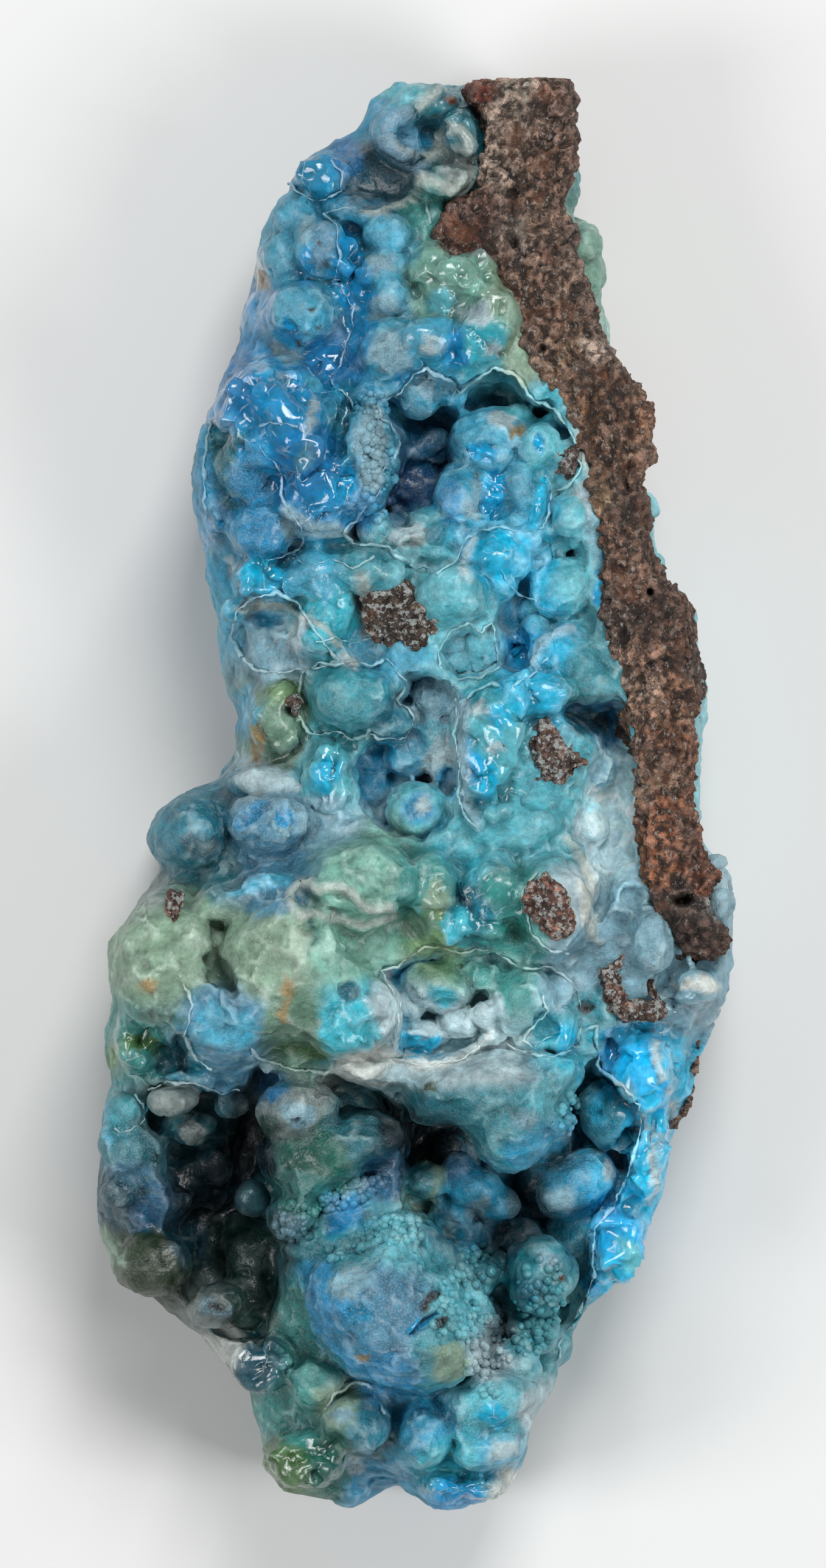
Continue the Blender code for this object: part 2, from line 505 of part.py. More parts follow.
def build_inclusion(number, lumps, crust):
    """One ironstone fragment, sunk in the crust's front face where the crust's skin is."""
    skin = BVHTree.FromObject(crust, bpy.context.evaluated_depsgraph_get())
    form = bmesh.new()
    for x, y, along, across, turn in lumps:
        above = Vector((x, y, 2 * THICKNESS)) * MM
        hit, _, _, _ = skin.ray_cast(above, Vector((0, 0, -1)))
        middle = hit.z / MM - INCLUSION_SINK * INCLUSION_DEPTH
        lump_into(form, x, y, middle, along, across, INCLUSION_DEPTH, turn)
    fragment = solid_object(f"ironstone_inclusion_{number}", mesh_from("fragment", form))
    remesh(fragment, INCLUSION_VOXEL)
    roughen(fragment, INCLUSION_ROUGHNESS, INCLUSION_GRAIN)
    thin_out(fragment, INCLUSION_TRIANGLES)
    keep_largest_body(fragment)
    return fragment


ironstone_matrix = build_matrix()
gibbsite = build_crust(ironstone_matrix)
side_crust = build_side_crust(ironstone_matrix)
inclusions = [
    build_inclusion(number, lumps, gibbsite) for number, lumps in enumerate(INCLUSIONS, start=1)
]
for inclusion in inclusions:
    boolean(gibbsite, grown_copy(inclusion, GAP), "DIFFERENCE")
keep_largest_body(gibbsite)

blue_gibbsite = stone_material("blue_gibbsite", (0.22, 0.52, 0.60), 0.35)
brown_ironstone = stone_material("brown_ironstone", (0.20, 0.10, 0.06), 0.85)
for stone in (gibbsite, side_crust):
    stone.data.materials.clear()
    stone.data.materials.append(blue_gibbsite)
for stone in (ironstone_matrix, *inclusions):
    stone.data.materials.clear()
    stone.data.materials.append(brown_ironstone)
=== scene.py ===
import itertools
import math
import random

import bmesh
import bpy
import numpy as np
from mathutils import Matrix, Vector
from mathutils.bvhtree import BVHTree


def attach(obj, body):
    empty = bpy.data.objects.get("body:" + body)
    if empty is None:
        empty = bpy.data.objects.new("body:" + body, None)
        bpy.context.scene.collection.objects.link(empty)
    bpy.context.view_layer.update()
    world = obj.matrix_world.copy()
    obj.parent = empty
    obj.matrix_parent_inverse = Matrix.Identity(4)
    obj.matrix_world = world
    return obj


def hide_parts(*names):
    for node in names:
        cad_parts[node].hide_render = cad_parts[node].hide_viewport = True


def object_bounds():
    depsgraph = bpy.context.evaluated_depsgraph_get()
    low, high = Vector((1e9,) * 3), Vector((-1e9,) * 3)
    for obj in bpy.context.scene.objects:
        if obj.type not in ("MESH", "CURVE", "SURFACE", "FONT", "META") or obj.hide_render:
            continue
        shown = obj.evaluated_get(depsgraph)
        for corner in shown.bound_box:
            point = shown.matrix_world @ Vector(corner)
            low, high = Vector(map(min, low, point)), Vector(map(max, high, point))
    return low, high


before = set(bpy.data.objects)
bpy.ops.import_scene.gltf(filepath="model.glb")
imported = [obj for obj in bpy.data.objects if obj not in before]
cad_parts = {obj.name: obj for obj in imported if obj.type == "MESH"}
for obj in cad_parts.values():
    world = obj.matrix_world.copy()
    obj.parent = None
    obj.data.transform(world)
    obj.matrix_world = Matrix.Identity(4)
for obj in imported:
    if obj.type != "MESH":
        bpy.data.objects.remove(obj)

cad_low, cad_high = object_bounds()

# The gibbsite crust: one blue and green botryoidal skin, grown over ironstone and broken open in
# front. Sizes are in millimetres, x to the matrix side, y to the narrow upper end, z out of the
# display face. Its back was trimmed flat at z = 0.
MM = 0.001
CRUST_CELL = 0.25
CRUST_VOXEL = 0.19
CRUST_TRIANGLES = 196000
FIELD_SINK = 1.2
UNDERSIDE_DEPTH = -3.0
CRUST_UNDERCUT = 7.5
LEVEL_SOFTNESS = 1.6
CHUNK = 15000
HIDDEN_SHARE = 2e-8
SHOWN_WEIGHT = 0.05

# Edge of the crust, clockwise from the upper peak, in stretches: rim height, shoulder width, corners
CRUST_EDGE = [
    (9, 4, [(-0.8, 39.9), (0.3, 39.3), (2, 39.5), (3.4, 39.3)]),
    (12.5, 0.9, [
        (4.3, 38), (4.4, 36.5), (4.1, 33), (2.2, 32.4), (1.4, 30.6), (2, 29.4), (3.6, 30.2), (5.2, 29.4),
        (5.6, 27.8),
    ]),
    (15.5, 0.8, [
        (6.3, 25), (7, 23.8), (8.4, 22.6), (9.4, 21.2), (10, 18.6), (10.4, 16.5), (10.9, 14), (11, 10.2),
        (11.9, 8.2), (12.1, 5.4), (13, 1.8), (13.4, -1.5), (13.6, -3.9), (14.1, -5.4), (14.2, -7.6),
        (15.2, -9.2),
    ]),
    (9, 3, [
        (17.4, -9.3), (17.6, -10.9), (16.5, -13), (15.6, -15.2), (15.7, -16.6), (14.2, -18.9),
        (13.6, -21.5), (12.8, -24.8), (11.8, -27), (9.9, -28.6), (8.3, -30.8), (7.6, -33), (6.5, -35.2),
        (5.7, -37.4), (5.1, -38.9), (3.5, -39.4), (1.9, -40.1),
    ]),
    (8.5, 4.5, [
        (-0.9, -38.6), (-3.7, -39.6), (-7.2, -38.9), (-8.5, -37.5), (-8.6, -35.8), (-9.1, -33.4),
        (-11.2, -31.3), (-12.9, -29.5), (-15, -27.9), (-16.5, -27.4), (-17.2, -25.3), (-17.9, -22.5),
        (-17.5, -20.5), (-17.5, -18.2), (-16.9, -16.2), (-17.3, -13.4), (-16.8, -10.9), (-17, -8),
        (-15.9, -6.8), (-14.4, -4.2), (-14.8, -2.6), (-14.2, -1.2), (-12.5, 0.4), (-10.9, 0.8),
        (-10.1, 1.9), (-9.9, 4.2), (-10.5, 5.5), (-11, 9.2), (-11.7, 11.8), (-12.5, 16.4), (-11.9, 20.1),
        (-11, 22.2), (-9.6, 25.4), (-9.1, 29.4), (-7.9, 32.2), (-6.2, 35), (-4.6, 36), (-3.4, 36.8),
        (-2.4, 38.4),
    ]),
]
CRUST_LEVELS = [
    (0, 38, 13), (-2, 34, 15), (-6, 31, 15), (0, 30, 17), (3, 26, 18.5), (-6, 26, 17), (-8, 18, 19.5),
    (-3, 19, 18.5), (2, 18, 18), (7, 17, 18.5), (9, 12, 18), (4, 12, 18.6), (-3, 12, 18.5),
    (-8, 10, 16.5), (-3, 7, 18.6), (0, 8, 19.5), (6, 6, 19.5), (7.5, 2, 20), (0, 2, 18.5), (-7, 3, 16.5),
    (-8, -2, 18.5), (-12, -3, 16.5), (11, 0, 17), (-6, -7, 22), (-13, -9, 20.5), (-10, -12, 21.5),
    (-3, -11, 21.5), (3, -5, 20), (7, -6, 20), (12, -10, 18), (15, -11, 15.5), (3, -12, 19),
    (-7, -17, 19), (-14, -18, 17), (5, -17, 19), (0, -20, 17.5), (11, -18, 16), (12.5, -22, 14),
    (10, -26, 14), (-12, -24, 16), (-14, -27, 14), (-2.5, -28, 19), (-9, -31, 14.5), (5, -27, 16),
    (7, -31, 12.5), (3, -34, 16), (0, -36, 15.5), (-6, -36, 15), (3, -38.5, 13), (-3, -38.5, 12.5),
]

# Broken edges that a plate, a hollow and a rim share
PLATE_BREAK = [
    (-0.9, 6.5), (-0.5, 6.1), (-0.6, 5.6), (-1, 5.2), (-0.8, 4.9), (-0.3, 4.6), (-0.1, 4.2), (-0.2, 3.6),
    (-0.6, 3.1), (-1.4, 2.95), (-2, 3), (-2.5, 3.3),
]
GLASS_BREAK = [
    (10.05, -15), (10.5, -15.5), (11.2, -16), (11.8, -16.6), (12.3, -17.2), (12.5, -18.2), (12.3, -19),
    (11.7, -21), (11, -22.8), (9.9, -24), (9.8, -27), (9.2, -28.5), (8, -30.5), (7.8, -31.8),
]
LUMP_BREAK = [
    (-3, -21.5), (-4, -22), (-4.6, -22.6), (-5.2, -23), (-5.3, -23.8), (-6, -24.3),
]

# Plates that stand proud of the front with broken edges: rise, lip width, corners
CRUST_PLATES = [
    (0.7, 0.3, [
        (-6.2, 7), (-3.3, 7.1), (-1.6, 7.4), *PLATE_BREAK, (-3.4, 3.2), (-4.6, 3.6), (-5.8, 3.2),
        (-6.3, 5),
    ]),
    (0.8, 0.3, [
        (-9.6, 8.4), (-8.9, 6.5), (-7.5, 6.1), (-5.5, 6.8), (-3.5, 6.6), (-3.3, 7.1), (-4.2, 8.2),
        (-5.2, 9.2), (-6, 8.8), (-6.2, 9.8), (-6.9, 10.3), (-8.2, 10.5), (-9.3, 9.9), (-10.4, 10.2),
    ]),
    (0.6, 0.3, [
        (2.3, 5), (2.1, 4), (2.2, 2.6), (2.4, 1), (2.6, -0.4), (2.9, -1.2), (4.4, -2), (5.6, -1.2),
        (6.2, 0.8), (6, 2.6), (6.4, 4.6), (5.4, 6.2), (3.8, 5.9),
    ]),
    (0.6, 0.25, [
        (-7.4, -4.8), (-7.9, -6.6), (-6.8, -7.4), (-4.6, -7.4), (-2.8, -7.8), (-0.8, -7.2), (0.2, -5.6),
        (-0.4, -3.4), (-2.4, -2.8), (-5.4, -2.8), (-6.8, -3.6),
    ]),
    (0.5, 0.25, [
        (7.6, -3.2), (9.2, -4.8), (9.9, -6.6), (9.6, -8.4), (7.6, -9), (6.4, -8.2), (5.2, -6.2),
        (5.6, -4.6),
    ]),
]

# Hollows between the balls: floor height, wall width, edge line's radius, corners
CRUST_HOLLOWS = [
    (11.4, 1.8, 0.12, [
        (-2.1, 21.2), (-1.7, 21.6), (-1.3, 21.8), (-0.8, 22), (-0.4, 22.4), (-0.1, 22.9), (0.7, 23.3),
        (1.1, 23), (1.7, 22.7), (2.1, 22.5), (2.35, 22.05), (3.2, 22.6), (3.7, 22.9), (4.4, 23.3),
        (4.7, 23.15), (5.4, 22.95), (5.9, 22.5), (6.2, 21.86), (6.5, 21.57), (7.2, 21.43), (7.7, 21.1),
        (8.1, 20.5), (8.4, 20.05), (8.75, 19.5), (9, 18.45), (9.1, 17.9), (8.94, 17.6), (8.56, 17),
        (8, 16.7), (7.5, 16.55), (7.1, 14.6), (6.3, 14.4), (4.5, 14.6), (2.9, 14.2), (2.4, 12.9),
        (2, 12.55), (1.5, 12.4), (1.3, 12), (0.9, 12.4), (0.5, 12.5), (0, 12.3), (-0.6, 12.8),
        (-1.2, 13.1), (-1.6, 13.4), (-2.5, 13.6), (-3.4, 13.7), (-4, 14.2), (-3.6, 14.6), (-3.1, 15.2),
        (-2.6, 15.8), (-2.1, 16.3), (-2, 17), (-1.7, 17.8), (-1.1, 18.2), (-0.95, 18.8), (-1, 19.6),
        (-1.3, 20.3), (-1.9, 20.5),
    ]),
    (14.4, 1.4, 0, [
        (4.6, 10.2), (4.4, 9.5), (4.5, 8), (4.6, 6.8), (5.2, 6.3), (6, 6.5), (6.5, 6.7), (6.7, 7.8),
        (7.4, 8.6), (8.2, 9.2), (8.7, 9.2), (9.5, 8.6), (10.1, 8.7), (9.9, 9.5), (9.8, 10.3), (9.7, 11.5),
        (9.5, 12.5), (9.3, 14), (9.2, 16), (8.6, 17), (7.5, 16.4), (7.1, 14.5), (6.4, 13.6), (6.2, 12.6),
        (5.5, 11.9), (4.6, 11.1),
    ]),
    (15.6, 1, 0.08, [
        (1.4, 7), (1.3, 7.7), (2, 8.9), (3, 9.3), (3.6, 8.8), (4.2, 9.4), (4.5, 8), (4.6, 6.8),
        (3.6, 6.3), (2, 6.2),
    ]),
    (13, 1.4, 0, [
        *PLATE_BREAK, (-2.7, 2.9), (-3, 2.2), (-3.6, 1.6), (-3.9, 1.2), (-3.4, 0.9), (-3.3, 0.3),
        (-3.1, -0.4), (-3, -1), (-2.4, -1.6), (-1.2, -2.4), (0.5, -2.6), (1.8, -2), (2.1, -0.1),
        (2.3, 0.8), (2.2, 1.5), (2, 2.7), (1.95, 3.5), (2.2, 4.3), (2.6, 5), (1.8, 6.2), (0.6, 6.7),
    ]),
    (12.5, 3.2, 0, [
        (7.8, 4.9), (8.4, 5.3), (9.2, 5.15), (10.4, 5.4), (11.2, 5.4), (11.7, 4.4), (11.9, 3.4),
        (12.3, 2.1), (12.8, 0.9), (12.95, -1), (12.9, -4.9), (12, -4.6), (11.2, -4.8), (10.8, -5.4),
        (10.4, -6.6), (9.8, -7.6), (9.6, -6.2), (9.75, -4.9), (9.4, -4), (9, -3.1), (8.3, -2.5),
        (8.6, -1.5), (9.1, -0.6), (9.2, 0.6), (9.4, 1.35), (10, 1.6), (10.1, 2.1), (9.6, 2.9), (8.7, 3.6),
        (7.8, 4.2),
    ]),
    (16.6, 1.2, 0.08, [
        (-1.9, -9.8), (-1, -9.5), (-0.4, -9), (0.4, -8.5), (1.2, -8.4), (1.8, -8.7), (2.6, -8.8),
        (3.3, -8.5), (4.2, -8.7), (5, -9.2), (5.6, -9.5), (6.6, -9.7), (7.3, -9.5), (8.6, -10.4),
        (9.2, -12.2), (9, -14), (7.6, -14.4), (5.6, -14.2), (4.2, -13.2), (3.3, -14.1), (2.4, -14.6),
        (1.2, -14.8), (0, -14.9), (-1.2, -14.6), (-1, -13.2), (-0.8, -11.4),
    ]),
    (8.5, 1.8, 0, [
        (-0.6, -16.2), (1.5, -16), (5, -15.4), (9.4, -15.2), (10, -14.2), *GLASS_BREAK, (6.2, -32.2),
        (4.6, -30.6), (3.6, -27.6), (1.8, -25.2), (0.4, -24), (-1.2, -23.2), (-0.8, -20), (-0.8, -18),
    ]),
    (8, 1.8, 0, [
        (-14.7, -16.3), (-14, -15.8), (-13, -15.9), (-12, -16), (-10.8, -16.6), (-10, -16.4),
        (-9.5, -16.1), (-9.2, -15.2), (-8.5, -15), (-7.6, -15.4), (-6.5, -15.6), (-5, -15.7), (-4, -15.4),
        (-3.4, -15.4), (-2, -16.2), (-0.8, -17.4), (-0.8, -19.6), (-2, -21), *LUMP_BREAK, (-7, -25),
        (-7.4, -28), (-8.4, -30.6), (-10, -30.4), (-11.4, -29.4), (-12.6, -28.4), (-14, -24),
        (-13.4, -22.6), (-14.4, -21.2), (-14, -19.4), (-15.2, -18),
    ]),
    (19.6, 0.9, 0, [
        (-10.9, -7), (-10.6, -7.4), (-10.75, -8.2), (-10.6, -8.9), (-10.1, -9.4), (-9.8, -10.2),
        (-9.7, -10.9), (-10, -11.2), (-10.5, -10.8), (-11.3, -10.5), (-11.6, -9.8), (-11.6, -8.8),
        (-11.3, -7.8), (-11.2, -7.2),
    ]),
    (13.2, 1.7, 0, [
        (-3.6, 35.5), (-2.2, 36.2), (-1.6, 35.2), (-0.9, 34.9), (0, 34.4), (0.4, 33.8), (0, 33),
        (-0.5, 32.6), (-2, 32.2), (-3.2, 32.6), (-3.4, 33.4), (-4, 34.4),
    ]),
    (13.2, 0.8, 0, [
        (-1.2, 36.8), (0.6, 36.6), (1.2, 36), (1.1, 35.3), (0.2, 35.2), (-0.9, 35.7), (-1.3, 36.2),
    ]),
    (14.5, 0.5, 0, [
        (-9.2, 9.6), (-8.6, 10), (-7.6, 9.9), (-7.1, 9.4), (-7.6, 9), (-8.8, 8.9),
    ]),
    (15.8, 0.9, 0, [
        (-11.6, -2.9), (-10.2, -3.2), (-9.4, -4.2), (-9.8, -5.2), (-11.2, -5), (-11.9, -4),
    ]),
]

# Soft swells of the front: top height, melt width, x, y, half-widths along and across, and any
# turn in degrees
CRUST_SWELLS = [
    # Upper end and the clear field above the cave
    (15, 0.5, -1.2, 36.5, 1.4, 1.7, 20), (14.4, 0.5, 0.5, 38.1, 1.8, 1.1),
    (15.4, 0.4, 2.5, 36.3, 1.1, 1.5), (16.4, 0.4, 1.5, 33.8, 1.5, 0.9, 10),
    (16.2, 0.4, -2.9, 32.2, 2.2, 0.9), (14.6, 0.3, -5.3, 34, 1.5, 1.5), (14.6, 0.3, -6.6, 31.9, 1.4, 1.4),
    (16.6, 0.3, -5, 30, 1.8, 1.8), (14.8, 0.3, -7.3, 29.4, 1.5, 1.5), (17.6, 0.3, -6.2, 26.3, 2, 1.8),
    (16.6, 0.6, -1.5, 30.8, 1.3, 1.1), (16.8, 0.6, -1.8, 28.8, 1.4, 1.1), (17.2, 0.6, -1.4, 27.3, 1.2, 1),
    (18, 0.7, -1.5, 24.4, 1.9, 1.7), (17.8, 1, 2.2, 28.6, 2.6, 2), (18.4, 0.9, 4, 25.8, 1.6, 2.6, -25),
    (17.6, 0.3, 3, 30.9, 1.1, 0.9), (18, 0.7, 0.8, 25, 1.5, 1.2),
    # Left-hand blue mass and the plates below it
    (21, 1.2, -7.6, 20.6, 3.4, 3.4, 8), (20.2, 1, -5.4, 16.6, 2.4, 3), (20, 0.4, -2.8, 18.4, 1.4, 2.8),
    (19.2, 0.5, -9.4, 18, 1.6, 1.8), (19.4, 0.4, -8.4, 14.4, 1.9, 1.7),
    (17.2, 0.5, -11.2, 17.4, 1, 3.4, 4), (18.4, 0.6, -8.2, 11.6, 2.2, 1.3, -15),
    (18.8, 0.7, -5.4, 12, 1.8, 1.6), (18.8, 0.7, -5, 9.4, 1.6, 2.4, -30), (19, 0.8, -2.6, 12.2, 2, 1.2),
    (16.4, 0.8, -7.9, 4.2, 1.6, 2.4), (19.2, 1, -3.4, 5.2, 2.4, 1.8), (18.2, 0.8, -4.6, 1.2, 1.4, 2.2),
    (17.4, 0.4, -8.4, 0.6, 1.9, 0.7), (19.6, 0.8, 2, 10.8, 2, 1.6), (20, 0.6, 6.6, 5.4, 2.2, 1.2),
    (20, 0.8, 4.2, 2.6, 1.8, 3), (19.8, 0.8, 5.4, -1.8, 2.6, 1.4),
    # Green loaf across the middle, with its shoulder to the right
    (21.6, 1.6, -13.6, -9.6, 3.2, 4.4), (19.2, 0.6, -15.2, -13.4, 1.5, 2.2),
    (22.2, 1.2, -10.6, -12.6, 2.8, 2.4), (23.6, 1.8, -7.2, -9.8, 3.8, 4.2),
    (23.2, 1, -3.6, -11.8, 2.8, 2.8), (21.8, 1.2, -3, -4.8, 3.2, 2.2), (21, 1, -9.2, -5.6, 3.2, 1.4, 15),
    (21, 0.8, 0.8, -5.4, 1.6, 2.2), (20.8, 0.8, 4.2, -5.8, 1.8, 2.6), (20.8, 0.5, 1.8, -7.4, 1.6, 1.1),
    (21, 1, 7.4, -6.2, 2.2, 2.8), (19.4, 0.3, 0.4, -15.3, 3.4, 0.8, 4),
    (20.4, 0.3, -2.9, -15.2, 1.4, 0.8), (18.8, 0.4, -12.8, -16, 1.9, 0.9),
    (18.6, 0.6, 12.8, -8.2, 1.2, 2), (16.4, 0.5, 15.6, -10.8, 1.5, 1.2),
    # Right-hand glass and the bottom end
    (16.6, 0.8, 12.6, -15.6, 1.8, 2.4), (15, 0.8, 13, -19.6, 1.2, 3.4, -8),
    (14.2, 0.8, 11.6, -25.2, 1.2, 2.8, 20), (17.8, 0.5, 4.2, -33.6, 2.6, 1.5, 10),
    (16.8, 0.4, 4, -36.2, 2.2, 1.2, 15), (17.2, 0.7, -3.2, -34.8, 2, 1.8), (16, 0.8, -6, -36.8, 2.2, 1.8),
    (15.6, 0.5, -8.4, -31.6, 1.8, 1.6), (16.8, 0.6, 0.6, -35.4, 1.6, 1.9),
    (16.4, 0.5, -5.6, -32.6, 1.6, 1.4), (14.8, 0.3, 1.6, -38.4, 1.2, 0.8),
    (14.8, 0.3, 3.6, -38.3, 1.2, 0.8),
]

# Balls: x, y, top height, half-widths along and across, and any turn
CRUST_BALLS = [
    # Upper cave
    (0.2, 21.8, 16.4, 1.5, 1.3), (2, 21.9, 15.8, 1, 0.9), (0.2, 19.3, 13, 1.7, 1.6),
    (-0.3, 16.9, 13.2, 1.9, 1.7), (4, 19.4, 17.4, 2.2, 1.9), (2.3, 16.2, 17.2, 1.4, 1.9),
    (4.5, 16.4, 16.8, 1.5, 1.6), (5.9, 16.6, 17.8, 0.8, 1.5), (6.8, 19, 17.4, 1.2, 1.3),
    (-2.2, 14.3, 17.6, 0.9, 0.8), (8.4, 18.4, 17.4, 0.9, 1.1), (8.6, 15.2, 17.6, 1.1, 1.7),
    (6, 14, 17.4, 1, 0.9), (1, 13.2, 17.6, 1, 0.7), (7.6, 20.2, 15.8, 0.8, 0.8),
    (-0.1, 12.9, 17.2, 0.8, 0.5), (2.2, 13, 17.2, 0.8, 0.6), (3.6, 14.8, 17, 1, 0.6),
    (5.6, 15, 17, 0.9, 0.7), (8.3, 17.2, 16.8, 0.8, 0.7), (7.4, 17.8, 16.6, 0.9, 0.9),
    (0.5, 14.9, 16.8, 1, 0.9), (2, 14, 16.8, 0.9, 0.9), (-0.3, 13.9, 17.6, 1.2, 0.8),
    (5.6, 20.4, 16, 1, 1), (6.8, 15.9, 17.8, 0.45, 1.4, -10),
    # Right-hand corridor
    (4.4, 13, 18.4, 1.8, 1.4), (4.6, 11.4, 17.8, 1, 1), (8, 11.3, 17.6, 1.8, 1.7),
    (3.9, 8, 17.4, 1.2, 1.5), (7.5, 8, 17.8, 1.2, 0.8, 30), (6.5, 12.4, 16.4, 1, 1.1),
    (2.4, 7, 17, 0.9, 0.8), (2.2, 8.2, 16.8, 0.8, 0.7), (7.4, 13.8, 16.8, 1, 1.2),
    # Middle hollow
    (1.2, 5.1, 16.8, 1.4, 1.3), (0.9, 3.4, 16.8, 1, 1.2), (-0.3, 2.1, 16, 1.4, 1.3),
    (-2.2, 1.7, 14.8, 1.1, 1), (-2.3, 0.2, 15, 1, 1), (0, -0.8, 18.2, 1.8, 1.6),
    (1.6, 1.4, 16.6, 0.8, 1.4), (10.2, 1.3, 15, 1.1, 1.1), (9.7, -1.7, 15.2, 1, 1.1),
    (9.4, -0.2, 13.8, 0.8, 0.9), (12, -5.7, 16.8, 1, 1),
    # Left side
    (-12.3, -2.2, 17.6, 2, 2), (-8, -1.8, 19.8, 2.3, 1.7), (-10, 10, 16.6, 1, 0.9),
    # Pocket below the loaf and the broken ball at its right
    (1.2, -10.7, 19.8, 2, 1.2, -8), (-0.4, -11.4, 18.8, 0.9, 1.2), (2.4, -12.6, 18.8, 1.1, 0.8),
    (4, -12.1, 19.6, 0.9, 0.8), (3.8, -10.2, 19, 1.3, 0.9), (5.9, -11.5, 20.4, 2, 1.9),
    (8, -13, 19.4, 0.9, 1.4), (6.4, -13.4, 19.2, 1.2, 0.7), (0.3, -13.3, 18.6, 1.5, 0.8),
    (7.8, -10.8, 19, 0.9, 0.9), (4.4, -13.3, 18.6, 0.8, 0.5),
    # Band under the loaf
    (-6.5, -17.4, 19.6, 2.3, 1.8), (-12.5, -18.5, 14.6, 1.6, 1.1), (-10.2, -17.2, 15, 1, 0.7),
    (-13.2, -16.9, 17.2, 1.4, 0.8), (-16, -19.6, 16.2, 1.5, 1.6), (-16.1, -17.6, 16, 0.9, 1),
    (-16.4, -22, 15.2, 1.2, 1), (-9, -22.5, 13.8, 1, 1.1), (-1.4, -21.4, 13.4, 1, 0.9),
    (-11.2, -20.6, 10.6, 1.4, 1.2), (-14.2, -23.2, 13.6, 2.2, 0.8, 25),
    # Large lower hollow
    (0.6, -21.5, 13.4, 1.3, 1.2), (3.3, -22, 13.2, 1.5, 1.2), (4.6, -22.9, 12.4, 1.3, 1.1),
    (2, -23.4, 12.2, 1.2, 1), (8.9, -21.7, 13.8, 2.5, 1.6, 35), (10.8, -17.8, 14.2, 1.7, 1.9),
    (6.8, -26.6, 15.2, 1.8, 2.1), (6.5, -29.8, 13.4, 1.4, 1.2), (2.2, -20.8, 12.8, 0.8, 0.8),
    (5.6, -24.6, 10.6, 1.4, 1.2), (1.5, -25.7, 14, 0.7, 0.7), (2.7, -25.6, 13.2, 0.7, 0.7),
    (3.9, -26.8, 13.4, 0.8, 0.8),
    # Lower left hollow and the lower end
    (-14.5, -25.9, 15.2, 2, 1.9), (-11, -28.3, 15.8, 1.7, 1.2, 15), (-9.6, -25.4, 9.6, 1.5, 1.3),
    (5.6, -31.6, 14.8, 1.2, 1.2), (3, -35, 17, 1.1, 0.8), (5.2, -34.8, 16.2, 1.2, 0.9),
]

# Lobes that overhang the hollows: rim height, shoulder width, top height, underside, corners
CRUST_LOBES = [
    (16.5, 2.6, 21.2, 12, [
        (-1.4, -15.2), (-0.9, -16.4), (-0.6, -17.2), (0, -17.9), (1, -18.1), (2, -18.1), (2.8, -18.7),
        (3.2, -19.5), (3.6, -20.3), (4.5, -20.9), (5.4, -21.1), (6.5, -20.6), (7.3, -19.9), (7.6, -19.2),
        (8.5, -18.8), (8.8, -18.1), (8.5, -17.3), (8.9, -16.3), (9.4, -15.6), (9, -14.4), (5, -13.8),
        (1, -14.6),
    ]),
    (15, 3.6, 22.6, 8, [
        (-4.5, -25), (-3, -24.2), (-1.2, -23.2), (0, -23.8), (0.3, -25), (1, -25.8), (1.8, -26.6),
        (2.4, -27.6), (3.2, -28.8), (3.6, -30.2), (3.2, -31.6), (1.8, -32.8), (0.7, -33.3), (-0.5, -33.1),
        (-2.5, -32.6), (-3.8, -32), (-4.6, -31), (-5.6, -29.6), (-6.2, -28), (-6.1, -26.4), (-5.4, -25.4),
    ]),
    (14, 1.8, 19, 9, [
        (-8.6, -19.6), (-7.8, -18.4), (-4.6, -17.6), (-2.2, -17.4), (-0.6, -18.2), (-0.6, -19.2),
        (-1.4, -20.4), (-2.3, -21), *LUMP_BREAK, (-7.2, -24.6), (-8, -23.6), (-7.6, -22.2), (-8.4, -21),
    ]),
]

# Small balls grown on the hollows' walls and floors: hollow, count, radii
NEST_SEED = 5
NESTS = [
    (0, 9, (0.9, 1.5)), (1, 6, (0.6, 1.0)), (3, 5, (0.8, 1.2)),
    (5, 7, (0.6, 1.0)), (6, 22, (0.9, 1.7)), (7, 20, (1.0, 1.9)),
]
SIDE_LUMP_SEED = 11
SIDE_LUMP_STEP = 1.9
SIDE_LUMP_RADII = (1.2, 2.4)
SIDE_LUMP_HEIGHTS = (1.5, 9.5)

# The crust's own arm up the far side of the matrix
ARM_EDGE = [(9, 0.9, [
    (17.2, -11.6), (17.7, -9.2), (17.6, -6.4), (17.5, -4.6), (16.7, -3.5), (15.8, -2.6), (15.8, 0.6),
    (15.9, 3.2), (16.3, 5.2), (16, 7.4), (15.6, 9.4), (14.9, 11), (13.6, 11.9), (13.1, 14.2),
    (13.3, 15.8), (12.6, 16.7), (11.6, 15.6), (11.6, 12), (12.6, 9.8), (13.6, 6.4), (13.6, -3),
    (14.6, -6), (14.4, -10.6),
])]
ARM_LEVELS = [(14, 13, 12.4), (14.4, 7, 12.6), (14.6, 0, 12.6), (15.6, -7, 13.0), (16, -11, 14.6)]
ARM_LUMPS = [
    (12.7, 15.8, 12.4, 0.8, 0.9), (13.3, 12.4, 12.8, 0.8, 1), (14.9, 9.6, 12.6, 0.9, 1.1),
    (15.2, 6, 12, 0.9, 1.2), (15, 2, 13.4, 0.9, 1.6), (15, -1.4, 13.2, 0.8, 1.4),
    (16.6, -4, 14.6, 0.8, 0.6), (16.9, -6.2, 16.4, 0.8, 1.1),
]

